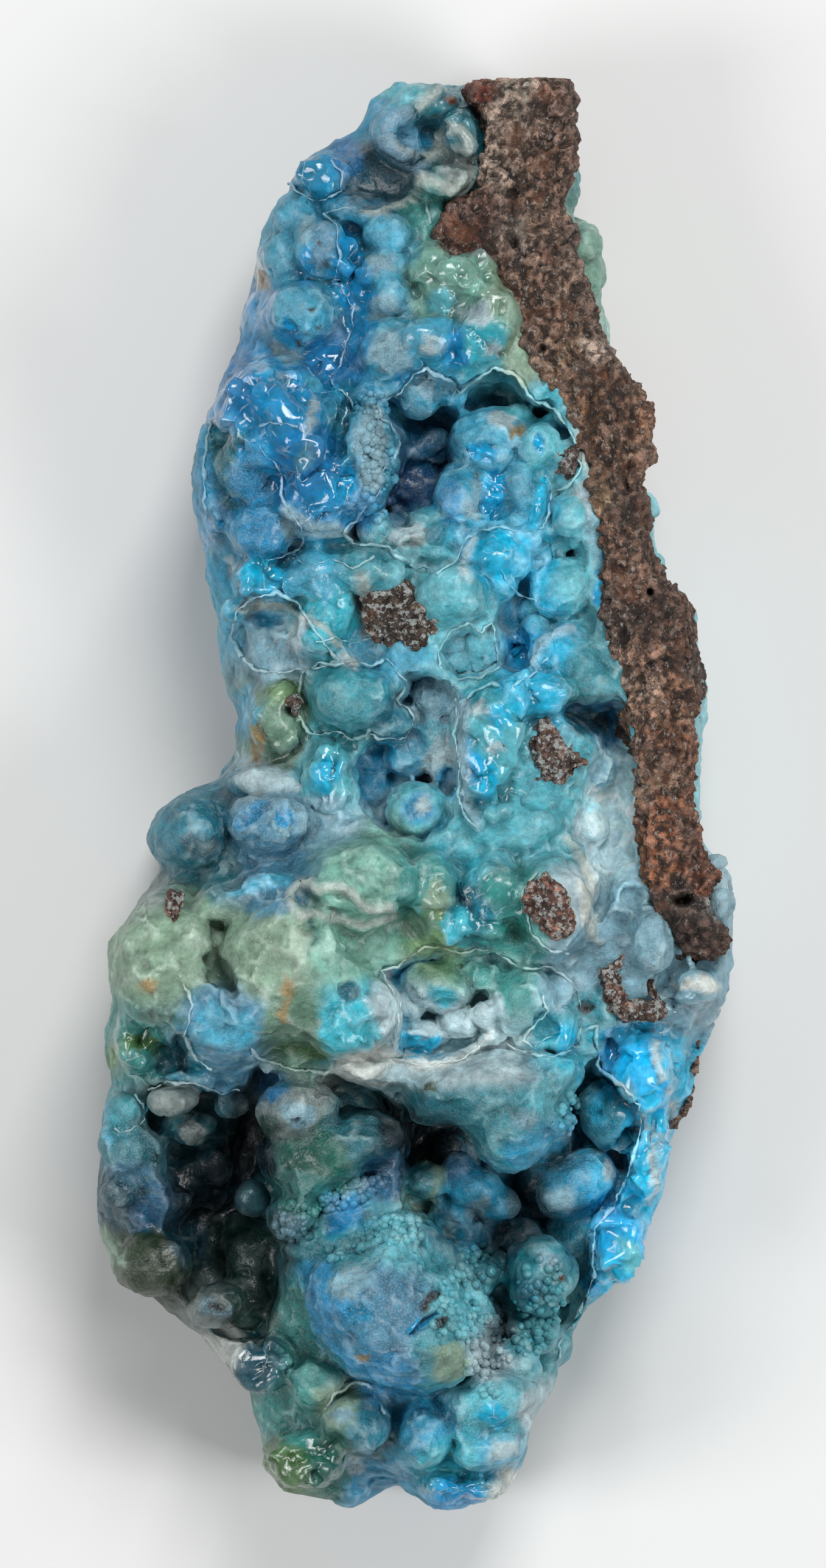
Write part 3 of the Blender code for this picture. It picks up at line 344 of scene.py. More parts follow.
# Glassy broken faces: strength, x, y, half-widths along and across, and any turn
GLASSY = [
    (1, -6, 21, 2.6, 2.6), (1, -5, 17.4, 1.6, 2.4), (0.9, -9.6, 21, 1.6, 2), (0.9, -5.3, 34.2, 1.6, 1.2),
    (1, -8.9, 28.2, 0.9, 1.8), (0.9, -3.7, 28.4, 0.8, 2.8), (0.9, -8.3, 11.7, 1.3, 1.1),
    (0.9, -4.6, 1.4, 1.3, 2), (0.9, 4.3, 2, 2, 3), (1, 12.4, -15.2, 2.2, 2.6),
    (1, 12.7, -20, 1.5, 4.2, -8), (1, 11.2, -25.6, 1.4, 3, 20), (0.8, 2.6, 27.8, 2.4, 2.2),
    (0.8, 1.8, 24.6, 3.4, 1.6), (0.6, 2.6, 36.8, 1.8, 2.4), (1, 1.6, -38.4, 1.2, 0.8),
    (1, 3.4, -38.3, 1.1, 0.9), (0.8, -15, -13.6, 1.6, 1.8), (0.6, 6.6, 5, 1.8, 1.8),
    (0.6, -6, 13.6, 2.2, 1.6), (0.6, 3, -6.2, 3, 2), (0.8, -8.6, -31.6, 1.8, 1.4),
    (0.7, -6.4, -36.8, 2.4, 1.8), (0.5, -3, -12.6, 1.6, 1.6), (0.8, 15.2, -12.6, 1.6, 2.2),
    (0.4, -3, 11, 3, 1.8), (0.5, -7.6, 4, 1.6, 2.2),
]
# Powdery frosted places, in the same order
FROSTED = [
    (1, -9.4, 16.6, 1.6, 3, 8), (0.9, -8, 13.6, 1.4, 1.4), (0.8, -3, 18.8, 1.4, 2.8),
    (0.6, -6, 26.3, 1.6, 1.6), (0.7, -6.6, 31, 1.6, 2.2), (0.6, -3, 13.4, 3, 1.6),
    (0.9, -8, -1.8, 2.4, 1.8), (0.9, -2.6, -28.6, 4.4, 4.6), (0.7, 5, -17.6, 4.6, 3.4, -12),
    (0.9, -6.5, -17.2, 2.8, 2.2), (0.9, 1.2, 5, 1.7, 1.8), (0.7, 11.2, -1, 1.6, 5),
    (0.8, 3.6, -34, 3, 2, 10), (0.8, 8.6, -21.8, 2.4, 1.8, 30), (0.8, -15.6, -19.6, 2, 2.4),
    (0.7, 3.6, -10.8, 5, 3), (0.7, 3.8, 17.8, 3.4, 3), (0.7, 12, -8, 3, 3), (0.9, 4, -30.4, 1.8, 2.6),
    (0.9, -2, 14, 2, 1),
]
# Beaded edges where the skin ends in tiny balls
BEADED = [
    (1, -2.6, 17.6, 1.4, 3), (1, -3.2, -23, 3, 1.6, 25), (1, -6.6, -23.8, 1.4, 1.6),
    (1, 2.4, -27, 2, 3.4, -20), (0.8, 4.6, -31, 1.6, 2.6), (1, -0.6, -24.6, 2.2, 1.6),
    (0.8, -3, 21.2, 1.2, 1.2), (0.7, 6.8, -26.6, 1.9, 2.2), (0.4, 3, -17.2, 3, 2.4),
]

# Shallow broken windows: drop, x, y, half-widths and any turn
WINDOWS = [
    (0.35, 3.7, 18.7, 1, 0.6), (0.3, 6.8, 19.2, 0.4, 0.6), (0.6, 4.4, 16.2, 0.9, 1.4, -8),
    (0.3, -0.1, 13.6, 0.6, 0.3), (0.3, 0.2, -0.8, 0.9, 0.8), (0.3, 1.9, 0.6, 0.5, 0.8),
    (0.3, 1.5, -11.2, 1, 0.5), (0.5, 7.2, -12.8, 0.7, 0.9), (0.5, 11.9, -5.8, 0.7, 0.7),
    (0.25, 7.2, -18.6, 0.35, 0.45), (0.3, 0.2, -13.7, 0.9, 0.5), (0.45, -7.2, -1.5, 1, 0.9),
    (0.4, -9, -1.2, 0.4, 1, -50), (0.8, 0.4, -29, 1.4, 0.2, 40), (0.5, -3.6, -10.7, 0.7, 0.5),
    (0.4, -4, -5.6, 0.5, 0.3), (0.8, -6.2, -6.1, 0.4, 0.35), (0.9, 7.8, 13.6, 0.9, 0.8),
    (0.8, 5.8, 8.2, 0.5, 0.9), (0.3, -6.9, 25.4, 0.6, 0.6), (0.25, -8.4, 12, 1.2, 0.9),
    (0.5, -3.8, 17, 0.5, 1.3, -20), (0.6, -14.9, -6.3, 0.3, 1, -8), (0.9, -15, -13.6, 0.9, 0.6),
    (0.9, -12.9, -14.2, 0.5, 0.9), (0.15, -2.9, -28.1, 0.6, 0.4), (0.5, -2.6, -23.4, 0.5, 0.4),
]
WINDOW_RAGGED = 0.22
# Dark specks and rusty stains: colour, drop, x, y, half-widths and any turn
SPECKS = [
    ("soot", 0.12, -5.7, 26.5, 0.22, 0.2), ("soot", 0.1, -5.4, 25.5, 0.2, 0.16),
    ("soot", 0.1, -6.5, 24.7, 0.2, 0.2), ("soot", 0.12, -5.2, 30.2, 0.24, 0.2),
    ("soot", 0.1, -4.9, 29.1, 0.2, 0.22), ("soot", 0.3, 3.8, 30.4, 0.35, 0.3),
    ("soot", 0.2, 0.9, -27.5, 0.42, 0.36, 30), ("soot", 0.2, 0.5, -28, 0.32, 0.3),
    ("soot", 0.2, 1.4, -28.9, 0.38, 0.34), ("rust", 0.1, 8.1, -26.7, 0.22, 0.2),
    ("soot", 0.3, -6.8, 4.6, 0.45, 0.4), ("soot", 0.2, 9.3, -11.8, 0.5, 0.35),
    ("soot", 0.4, -6.55, -18, 0.25, 0.25), ("soot", 0.6, -11, -28.3, 0.5, 0.4),
    ("ochre", 0, 5.6, 19.9, 0.5, 0.4), ("ochre", 0.1, -8.7, 2.9, 0.5, 1),
    ("ochre", 0, -7, -10.6, 0.3, 0.9, 8), ("ochre", 0, -7.2, -12, 0.25, 0.7),
    ("ochre", 0, -2.9, -30.9, 0.4, 0.25), ("rust", 0.1, 2, 38.3, 0.45, 0.3),
    ("rust", 0, 3.3, 32.2, 0.7, 0.35, 10), ("rust", 0, 2.1, 31.6, 0.5, 0.4, 40),
    ("rust", 0.1, 1.5, 30.5, 0.35, 0.8, 10), ("ochre", 0, -14.6, -10.6, 0.5, 0.5),
    ("tan", 0, -8.6, 28.6, 0.4, 0.75), ("olive", 0, 0.8, -16.1, 0.5, 0.35),
]

# Colours of the stone as a screen shows them
STONE_COLOURS = {
    "azure": (0, 148, 204), "deep azure": (0, 124, 182), "bright azure": (8, 172, 226),
    "cyan": (48, 182, 220), "sea blue": (34, 142, 182), "sky": (78, 164, 198),
    "pale sky": (116, 186, 212), "frost": (158, 194, 208), "ice": (190, 212, 218),
    "white": (214, 220, 214), "grey": (138, 152, 150), "grey teal": (70, 128, 140),
    "grey blue": (112, 156, 180), "grey aqua": (92, 160, 172), "slate": (44, 106, 142),
    # The near-black teal is painted shade for the deepest hollows, not a colour of the stone.
    "deep slate": (14, 78, 126), "violet sky": (56, 152, 200), "painted shade": (0, 42, 56),
    "aqua": (136, 204, 216), "bright aqua": (112, 204, 220), "turquoise": (100, 188, 204),
    "teal": (42, 122, 142), "sea teal": (82, 158, 170), "deep teal": (12, 74, 90),
    "dark green": (30, 74, 66), "sea green": (96, 160, 156), "dark sea green": (56, 110, 98),
    "sage": (122, 152, 134), "pale sage": (150, 176, 156), "mint": (150, 194, 180),
    "moss": (126, 156, 118), "olive": (50, 66, 44), "olive green": (88, 120, 80),
    "chalk": (180, 188, 180), "ochre": (150, 130, 88), "tan": (182, 164, 134), "rust": (98, 56, 40),
    "soot": (44, 48, 50),
}
# Ground colours of the front: x, y, reach
FRONT_GROUND = {
    "aqua": [
        (-0.6, 39, 1.2), (9.2, 19.4, 1), (10.2, 14, 1), (10.2, 10.6, 1), (0, 12.2, 1.4), (2, 10.6, 1.4),
        (-4.8, 1.4, 1.6), (4.2, 2.4, 2.2), (12.9, -1, 0.7), (7, -1.4, 1.6), (3.4, -2.6, 1.4),
        (9.2, -29.8, 1),
    ],
    "sky": [
        (-2.4, 37.4, 1.2), (-5.2, 30.4, 1.4), (-6.2, 26.6, 1.6), (1.2, 24.6, 1.4), (-4, 21, 1),
        (-11.2, 13, 1.2), (-8.3, 12, 1.3), (-9.6, 4.4, 0.8),
    ],
    "grey teal": [(2.6, 37.4, 1.8), (-10.4, 18.4, 1.2), (-10.6, -4.4, 1)],
    "deep teal": [(-1.8, 34.4, 1.8)],
    "deep azure": [(-3.8, 35, 1), (-4.6, 24.4, 1.4), (-10, 23, 1.2), (-6, 18, 1.8)],
    "sea blue": [(-5.4, 34.2, 1.4), (-11.8, 17, 1)],
    "pale sky": [
        (-6.8, 32, 1.2), (-7.4, 29.2, 1.2), (-1.6, 30, 1.4), (-1.4, 27, 1.2), (-1.6, 24.6, 1.4),
        (-2.8, 18.6, 1.2), (-5.8, 12.2, 1.4), (-10.4, 9.6, 1.2), (-2.2, 7.6, 1.4),
    ],
    "azure": [(-8.8, 27.6, 1), (-3.4, 28, 1.2), (-7.4, 21.6, 2.2), (-4.6, 15.8, 1.4)],
    "mint": [(1.8, 28, 2), (-3, -4.6, 1.6), (-4, -8.4, 1.4)],
    "pale sage": [(4.6, 28, 1.4), (6, 24, 1.2), (-13.4, -8.6, 2.2), (-8, -8.6, 2)],
    "grey": [(3.6, 30.8, 1.2), (-15, -5.6, 1)],
    "sea green": [
        (0.8, 32.2, 1.3), (-15.4, -13.8, 1.4), (0.6, -5.4, 1.6), (4.8, -5.6, 1.2), (5.4, -8.6, 1.2),
    ],
    "turquoise": [
        (3.6, 24.2, 1.2), (7.6, 22.2, 1), (-5, 10, 1.4), (3.2, 6, 1), (11.6, 2, 1), (2.6, -3.4, 1.2),
        (9.4, -13.6, 0.8),
    ],
    "violet sky": [(-9.4, 16, 1.2), (-8.2, 14.4, 1.4)],
    "frost": [(-8, 7.6, 1.4), (-5, -1.4, 1.2), (8.4, -9.4, 1), (12.2, -8, 1.8), (15.6, -10.8, 1.4)],
    "grey aqua": [(-2.6, 12.6, 1.4), (9.8, 6.4, 1.4), (10.8, 8.4, 1), (10.6, -12.2, 1)],
    "cyan": [
        (4.4, 13.2, 1.3), (6.4, 5.6, 1.4), (7.4, 8, 1.2), (14, -15.6, 1.2), (12.9, -19, 1.4),
        (12.6, -22, 1.2), (10.8, -27.4, 1.2),
    ],
    "sea teal": [(-3.6, 5.2, 1.8)],
    "teal": [(-1.4, 4, 1), (-12.4, -1.8, 2), (-13, -14.6, 1), (3.2, -6.2, 1.2)],
    "sage": [(-7.6, 4.4, 1.6), (-6.6, -12.4, 1.6)],
    "ice": [(-8.2, 0.6, 1.2), (-1.5, -11.6, 0.8), (8.8, -5.6, 1), (0.6, -15, 1.6)],
    "grey blue": [(-8, -1.8, 1.8), (-8, -5.2, 1.4), (-10.4, -12.6, 1.8)],
    "bright aqua": [(-4, -12.4, 1.4)],
    "moss": [(1, -7.2, 1.2)],
    "bright azure": [(12, -15, 1.2), (11.2, -24.4, 1.2)],
    "white": [(-2.8, -15.2, 1)],
}
# Ground colours down in the hollows and of the whole lower end
DEEP_GROUND = {
    "sky": [
        (0.2, 21.8, 1.2), (5, 10.6, 1.2), (3, -22.8, 1.8), (9, -21.7, 1.8), (7, -19.4, 1.4),
        (0.8, -34.6, 1.6),
    ],
    "slate": [
        (0.4, 19, 1.4), (2, 14.2, 1), (9.6, 4.2, 1.4), (-14.6, -23.2, 1.2), (-1.2, -20.8, 1.2),
        (2.4, -20.8, 1),
    ],
    "deep slate": [(-0.4, 17, 1.6)],
    "pale sky": [(4, 19.3, 1.8), (6.8, 19, 1.2), (1, -10.2, 1.8), (4.4, -36.4, 1.4), (16.6, -7, 1)],
    "violet sky": [(2.2, 16, 1.4), (-4.6, -28, 1.6), (-3.4, -30, 1.4), (-1.4, -31.8, 1.4)],
    "cyan": [(4.8, 16.4, 1.4), (0.2, -13.6, 1)],
    "grey blue": [
        (-2, 14.4, 1), (0.4, 14.6, 1.2), (6.4, 12.6, 1), (1, 4.6, 1.8), (0, 2.4, 1.4), (-1.6, -28.2, 2),
    ],
    "grey aqua": [
        (5.2, 22.2, 1.2), (7.4, 20.8, 1), (1.6, -25.6, 1), (3.8, -26.6, 1), (4.8, -17.2, 2.4),
        (1.4, -31, 1.6), (-3.4, -25, 1.2),
    ],
    "aqua": [
        (8.6, 15, 1.6), (8, 11.2, 1.6), (10, 10.4, 1), (9.2, 9, 1), (7.8, -16, 1.4), (2.4, -28.4, 1.6),
        (-1, -24.4, 1.4), (4.2, -33.8, 1.8), (14.6, 4, 1.4),
    ],
    "frost": [
        (3.9, 8, 1.3), (0, -0.8, 1.6), (1.6, 1.4, 1), (10.4, 1.4, 1), (9.8, -1.8, 1), (12, -5.6, 1),
        (10.6, -7, 1), (1.4, -11.6, 1.4), (5.6, -11.4, 1.8), (-7, -23.6, 1),
    ],
    "bright azure": [(5.8, 8, 0.9)],
    "grey teal": [
        (7.6, 13.8, 1), (-10.8, -4.2, 1.2), (-15.8, -19.6, 1.4), (-11.8, -18.6, 1.4), (-3, -18.6, 1.6),
        (-8.8, -22.2, 1), (0.8, -16.4, 1.6),
    ],
    "sea blue": [
        (-2.3, 1.4, 1.2), (1.8, -2.2, 1), (-8.3, 9.5, 1), (-0.1, 36.2, 1), (-11.6, -15.3, 1),
        (-2.6, -38.2, 1.2),
    ],
    "ice": [(11.2, -1, 2.8), (4, -12, 1), (4, -31, 1.4), (6.4, -34, 1)],
    "deep teal": [
        (-1.8, 34.2, 1.8), (-16.6, -22.2, 1.2), (-12.4, -25, 1.2), (-8.6, -31.4, 1.3), (6.4, -22.8, 1.4),
        (5.4, -24.6, 1.2), (7.6, -20.2, 1), (5, -29.6, 1),
    ],
    "turquoise": [(2.6, -12.9, 0.9), (8, -13, 1.2), (2, -36.6, 1.4)],
    "dark sea green": [(-10.6, -9.4, 1.4), (-5.4, -20, 1.6), (-4.6, -37, 1.6)],
    "sea teal": [(-16.6, -17.6, 1), (-5.8, -24.6, 0.8), (6.8, -26.6, 1.8), (6.4, -29.8, 1.4)],
    "pale sage": [(-17, -25.6, 0.8), (0.4, -21.5, 1.3), (-4.4, -33.8, 1)],
    "olive": [(-14.6, -26, 1.8)],
    "grey": [(-12.8, -16.8, 1.2), (-11.2, -28.4, 1.2), (-6.6, -17.2, 1.8)],
    # Painted shade: near-black teal laid in the deepest hollows and under the overhanging lobe.
    "painted shade": [(-9.6, -20.4, 1.8), (-11.6, -22.8, 1.6), (-0.8, -18.4, 1.4), (1.4, -19.2, 1.4)],
    "dark green": [(-10, -25.4, 1.8), (-9.4, -28.6, 1.4)],
    "white": [(-10.6, -30.6, 1), (5.1, -38, 0.7)],
    "deep azure": [(-7.6, -15.8, 1)],
    "sea green": [(-6.4, -21.8, 1.6), (-7.2, -34.6, 1.6), (-6, -31.2, 1.4), (-6.4, -28.6, 1.2)],
    "azure": [(-4, -23.2, 1), (2.4, -38.5, 1)],
    "teal": [(1.6, -24.1, 1), (10.6, -17.4, 1.6), (10.4, -18.8, 1), (9.2, -25.4, 1), (-2.6, -35.4, 1.3)],
    "olive green": [(-7.4, -37.2, 1.5)],
}
# Clouds, panes and stains laid over the ground in this order: colour, x, y, half-widths, any turn
CLOUDS = [
    # Upper end and the clear field above the cave
    ("sea blue", -0.1, 36.2, 1.2, 0.8, -20), ("grey", 2.2, 34.4, 0.9, 1.4), ("teal", 3.5, 37.8, 0.4, 1.2),
    ("grey blue", -2.7, 32.5, 0.8, 0.4, 10), ("azure", -6.1, 28.8, 0.6, 1.2), ("frost", -6, 31, 0.8, 0.9),
    ("grey blue", -4.9, 30.2, 0.9, 1.6), ("azure", -8.8, 27.4, 0.8, 2, 4),
    ("pale sky", -6, 26.5, 1.9, 1.7), ("azure", -6.9, 25.4, 0.6, 0.6), ("azure", -3.6, 29.6, 0.8, 1.8),
    ("azure", -3.2, 26.4, 0.9, 2.2), ("deep azure", -5.2, 24, 1.2, 0.8, 20),
    ("pale sky", -1.9, 30.4, 0.9, 0.8), ("frost", -1.9, 29.2, 1, 0.7), ("pale sky", -1.6, 27.7, 0.9, 0.9),
    ("frost", -1.8, 26.7, 0.9, 0.7), ("frost", -1.5, 24.3, 1.3, 1.2), ("azure", -0.6, 22.9, 0.9, 0.3, 30),
    ("pale sky", 0.5, 25, 1, 1), ("ice", 0.8, 24.7, 0.5, 0.5), ("azure", 2.3, 24.3, 0.7, 0.9),
    ("ice", 3.3, 26.2, 0.9, 0.7), ("ice", 4.4, 24.3, 0.5, 0.4), ("mint", 3, 28.4, 1.2, 1),
    ("aqua", 1.4, 27, 0.9, 0.7),
    # Blue mass on the left
    ("sea blue", -11.8, 17.2, 0.7, 3.4, 4), ("bright azure", -8.4, 23.4, 0.7, 0.7),
    ("azure", -7.5, 21, 1.8, 1.2), ("deep azure", -9.8, 21.4, 0.9, 1),
    ("deep azure", -6.6, 18.2, 1.3, 2.2, -20), ("bright azure", -3.8, 17, 0.5, 1.3, -20),
    ("frost", -2.4, 18.8, 1, 2.4), ("pale sky", -4, 20.6, 1, 0.7), ("frost", -7.4, 22.8, 0.6, 0.4, -20),
    ("pale sky", -5.7, 22.6, 0.5, 0.6), ("frost", -7.2, 24.1, 0.9, 0.4, -30),
    ("grey blue", -6.2, 18.6, 0.5, 0.7, -30), ("ice", -5.9, 20.6, 0.25, 0.9, -10),
    ("teal", -10.1, 16.6, 0.8, 1.1, 30), ("violet sky", -9, 17.8, 1.2, 1.4, -30),
    ("violet sky", -8.3, 14.4, 1.4, 1.4), ("frost", -6.7, 14.3, 0.6, 1.1, 10),
    ("azure", -11.4, 14.2, 0.5, 0.9), ("frost", -4.4, 14.3, 1.6, 0.4), ("cyan", -8.4, 12, 1.2, 1),
    ("ice", -9.9, 12.6, 0.3, 0.8, 20), ("pale sky", -5.2, 11.4, 0.6, 1.2, 20),
    # Plates and the neck on the left
    ("sea blue", -8.3, 9.5, 0.9, 0.4), ("ice", -6.4, 8.9, 0.5, 1.1, -20),
    ("ice", -8.6, 10.3, 1.6, 0.3, 5), ("frost", -7.4, 7.3, 1.5, 0.7, -10),
    ("ice", -4, 7.4, 0.9, 0.3, -38), ("grey", -2.8, 10.4, 0.5, 1.8), ("moss", -7.2, 5.7, 0.9, 0.5),
    ("sage", -7.4, 3, 1, 1.8), ("pale sky", -9.2, 4.8, 0.6, 1), ("teal", -1.7, 4, 0.9, 0.7),
    ("cyan", -4.9, 1, 0.7, 1.2, -20), ("ice", -8.2, 0.5, 1.8, 0.45),
    ("violet sky", -9, -1.2, 0.4, 1, -50), ("frost", -7.2, -1.5, 1.1, 1),
    ("violet sky", -7.2, -1.5, 0.7, 0.6), ("deep teal", -12, -2.8, 1.2, 0.7),
    # The cave's lumps and the middle
    ("pale sky", 0.2, 21.8, 1.4, 1.3), ("frost", 0.6, 22.3, 0.7, 0.7), ("pale sky", 4, 19.4, 2.1, 1.9),
    ("bright azure", 3.7, 18.7, 1, 0.6), ("ice", 4.6, 20.6, 1, 0.5),
    ("bright azure", 6.8, 19.2, 0.35, 0.6), ("violet sky", 2, 16, 0.8, 1.2),
    ("frost", 3.3, 16.2, 0.4, 1.5), ("bright azure", 4.4, 16.2, 0.8, 1.4, -8),
    ("pale sky", 5.8, 16.4, 0.6, 1.3), ("cyan", 6.9, 16, 0.5, 1.6, -5), ("ice", -0.2, 14, 1.1, 0.7),
    ("grey", -0.1, 13.6, 0.6, 0.3), ("cyan", 4.2, 13.3, 1.4, 1), ("bright azure", 5.8, 8.2, 0.5, 1),
    ("ice", 9.3, 16.2, 0.4, 1.1), ("frost", 9.8, 14.2, 0.3, 2.4, 8),
    ("bright azure", 10.2, 11.6, 0.3, 1.4), ("frost", 1.2, 5, 1.5, 1.2), ("ice", 1.4, 1.8, 0.7, 1.4, -20),
    ("sea blue", 1.9, 0.6, 0.4, 0.8), ("sea blue", 0.2, -0.8, 0.9, 0.8), ("ice", 0.5, -0.6, 0.4, 0.4),
    ("cyan", 3.6, 0.8, 0.9, 1.2), ("bright azure", 3.2, 1.6, 0.35, 1.2), ("ice", 3.3, 4.5, 0.5, 0.4),
    ("ice", 4.6, 2.4, 0.7, 0.25, 10), ("cyan", 4.6, 4, 0.6, 0.8), ("ice", 2.6, 2.4, 0.2, 2.4),
    ("deep teal", 9.6, 4, 1.2, 0.7), ("frost", 10.4, 1.5, 0.8, 1.1), ("ice", 9.6, -1.8, 0.9, 1),
    # Green loaf and its shoulder
    ("pale sky", -8.2, -5, 1.8, 0.5, 12), ("mint", -2.4, -4.8, 1.6, 1.6), ("mint", -3.8, -8.2, 1.6, 0.9),
    ("pale sky", -10.6, -12.8, 1.8, 1.2), ("bright aqua", -3.9, -12.4, 1.5, 1.3),
    ("teal", -3.6, -10.7, 0.6, 0.5), ("ice", -1.5, -11.6, 0.4, 2.2, -4),
    ("olive green", -6.2, -14.1, 1.7, 0.4, -8), ("moss", -16.7, -15, 0.4, 1.6, -20),
    ("olive green", -15, -13.7, 0.9, 0.6), ("deep teal", -12.9, -14.2, 0.5, 1),
    ("dark sea green", -14, -12.3, 1.4, 0.4), ("dark sea green", -5.7, -7.8, 0.3, 1.2),
    ("pale sage", 1.1, -5.8, 0.7, 1.1), ("sage", 0.2, -7.3, 0.8, 0.7),
    ("deep teal", 2.6, -5.7, 0.3, 1, 30), ("turquoise", 2.2, -7.4, 1, 1.1),
    ("dark sea green", 5.6, -7.6, 1, 0.5, -30), ("white", 9.4, -5.8, 0.3, 2, 5),
    ("frost", 13.2, -8, 0.6, 1.8), ("white", 15.6, -10.5, 1.4, 0.4), ("cyan", 0.4, -13.7, 1.2, 0.5),
    ("turquoise", 1.5, -11.2, 0.9, 0.5), ("ice", 4, -11.8, 0.8, 0.8), ("turquoise", 7.2, -12.8, 0.7, 0.9),
    ("cyan", 8.2, -13.6, 0.6, 1),
    # Clear blue edge on the right
    ("sea blue", 11.4, -13.4, 1.3, 0.8, 12), ("azure", 10.8, -14.4, 0.7, 0.5, -30),
    ("bright azure", 12, -15.2, 1, 0.7, -25), ("ice", 13.2, -14.6, 0.25, 1.6, 10),
    ("bright azure", 13.6, -16.6, 0.6, 0.9), ("ice", 14.2, -17.2, 0.25, 1.9, 15),
    ("frost", 13, -18.6, 0.3, 1.6, 25), ("azure", 10.9, -23.6, 0.7, 1.4, 25),
    ("bright azure", 11.6, -24, 0.6, 0.9, 20), ("aqua", 11.8, -25.4, 0.7, 1, 30),
    ("bright azure", 9.8, -27.2, 0.6, 0.6), ("ice", 13.1, -21.2, 0.3, 1.8, 10),
    # Hanging lump and the large lower hollow
    ("teal", 11.2, -17.2, 0.8, 1.6, -10), ("teal", 10.4, -18.8, 0.9, 0.6), ("sky", 6.2, -19.8, 1.2, 0.9),
    ("aqua", 7.6, -16.4, 1.2, 1.1), ("frost", 6.2, -17.8, 0.7, 0.6), ("ice", 11, -20.6, 0.4, 1, -10),
    ("frost", 8, -22.6, 1, 0.8), ("frost", 3.6, -23.2, 0.8, 0.6), ("teal", 1.6, -24.1, 0.9, 0.5),
    ("grey aqua", 0.2, -21.6, 0.9, 1), ("teal", 6.2, -27.4, 1, 0.8), ("frost", 7.4, -25.6, 0.4, 0.4),
    # Lower ball and the lower end
    ("violet sky", -4.8, -28.2, 0.9, 2.4), ("grey blue", -1.4, -28.8, 1.9, 1.6),
    ("frost", -3.6, -26.6, 1.4, 0.8, 20), ("sea blue", -2.9, -28.1, 0.7, 0.5),
    ("sea blue", -3.4, -29.7, 1.1, 0.8, -30), ("violet sky", -1.4, -31.8, 2.2, 0.6, -20),
    ("bright azure", 0.4, -29, 1.2, 0.16, 40), ("aqua", 1.9, -27.6, 1, 1.4, -20),
    ("pale sage", 1.8, -31.2, 1, 1), ("cyan", 4.2, -34.3, 0.8, 0.7), ("ice", 6.4, -33.6, 0.7, 1.3, -20),
    ("ice", 4.8, -36, 1.1, 0.5, 20), ("azure", 1.8, -38.4, 0.8, 0.5), ("azure", 3.2, -38.4, 0.7, 0.4),
    ("white", 5.1, -38, 0.5, 0.6), ("frost", -4.2, -34.1, 0.6, 0.7), ("white", -10.9, -30.8, 0.5, 0.8),
    ("ice", -3.4, -37.3, 0.7, 0.5, -30), ("olive green", -7.4, -37.2, 1, 1.4),
    # Lower left
    ("pale sky", -17.1, -18.2, 0.4, 0.9), ("grey blue", -15.8, -20.8, 1.4, 0.5, -5),
    ("deep teal", -16.2, -22.2, 1.6, 0.4, 8), ("olive", -14.6, -26, 1.5, 1.6),
    ("pale sage", -17, -25.8, 0.35, 1.8), ("grey", -12.2, -18.8, 0.8, 0.6),
    ("frost", -6.4, -17.6, 1, 0.9), ("dark sea green", -5.4, -20.2, 2, 0.7, -5),
    ("dark green", -8.2, -18.4, 0.7, 0.7), ("frost", -11.2, -28.2, 0.7, 0.6),
]
EDGE_CHALK = "white"
FRONT_LIGHT = 0.86
DEEP_LIGHT = 0.95
CLEARNESS = 0.95
UPPER_LOWER_SPLIT = -15.6
# Shaded places and places lit through: light, x, y, half-widths and any turn
SHADED = [
    (0.55, -10.4, -23.4, 4.6, 6.6, -10), (0.6, -0.4, -19.6, 2.6, 2.2), (0.8, 4.6, -17, 3.6, 2.6),
    (0.8, 4.6, -24.8, 4.2, 2.2, -20), (1.22, 3.4, -11.6, 4.8, 2.6), (1.05, -8.6, -8.6, 8, 5.6),
    (0.86, -4, 28.6, 8.6, 7.4), (0.88, -7.6, 18, 4.6, 5), (0.75, 0.4, 18, 2.4, 3.4),
    (1.3, 12.2, -18.4, 1.8, 5.6, 8), (1.2, 11, -25.4, 1.6, 2.8, 20), (0.9, -1.4, 34.2, 2, 1.4),
    (1.8, 11, -1.2, 1.9, 4.2), (1.2, 10.4, -17.8, 1.6, 1.8),
]
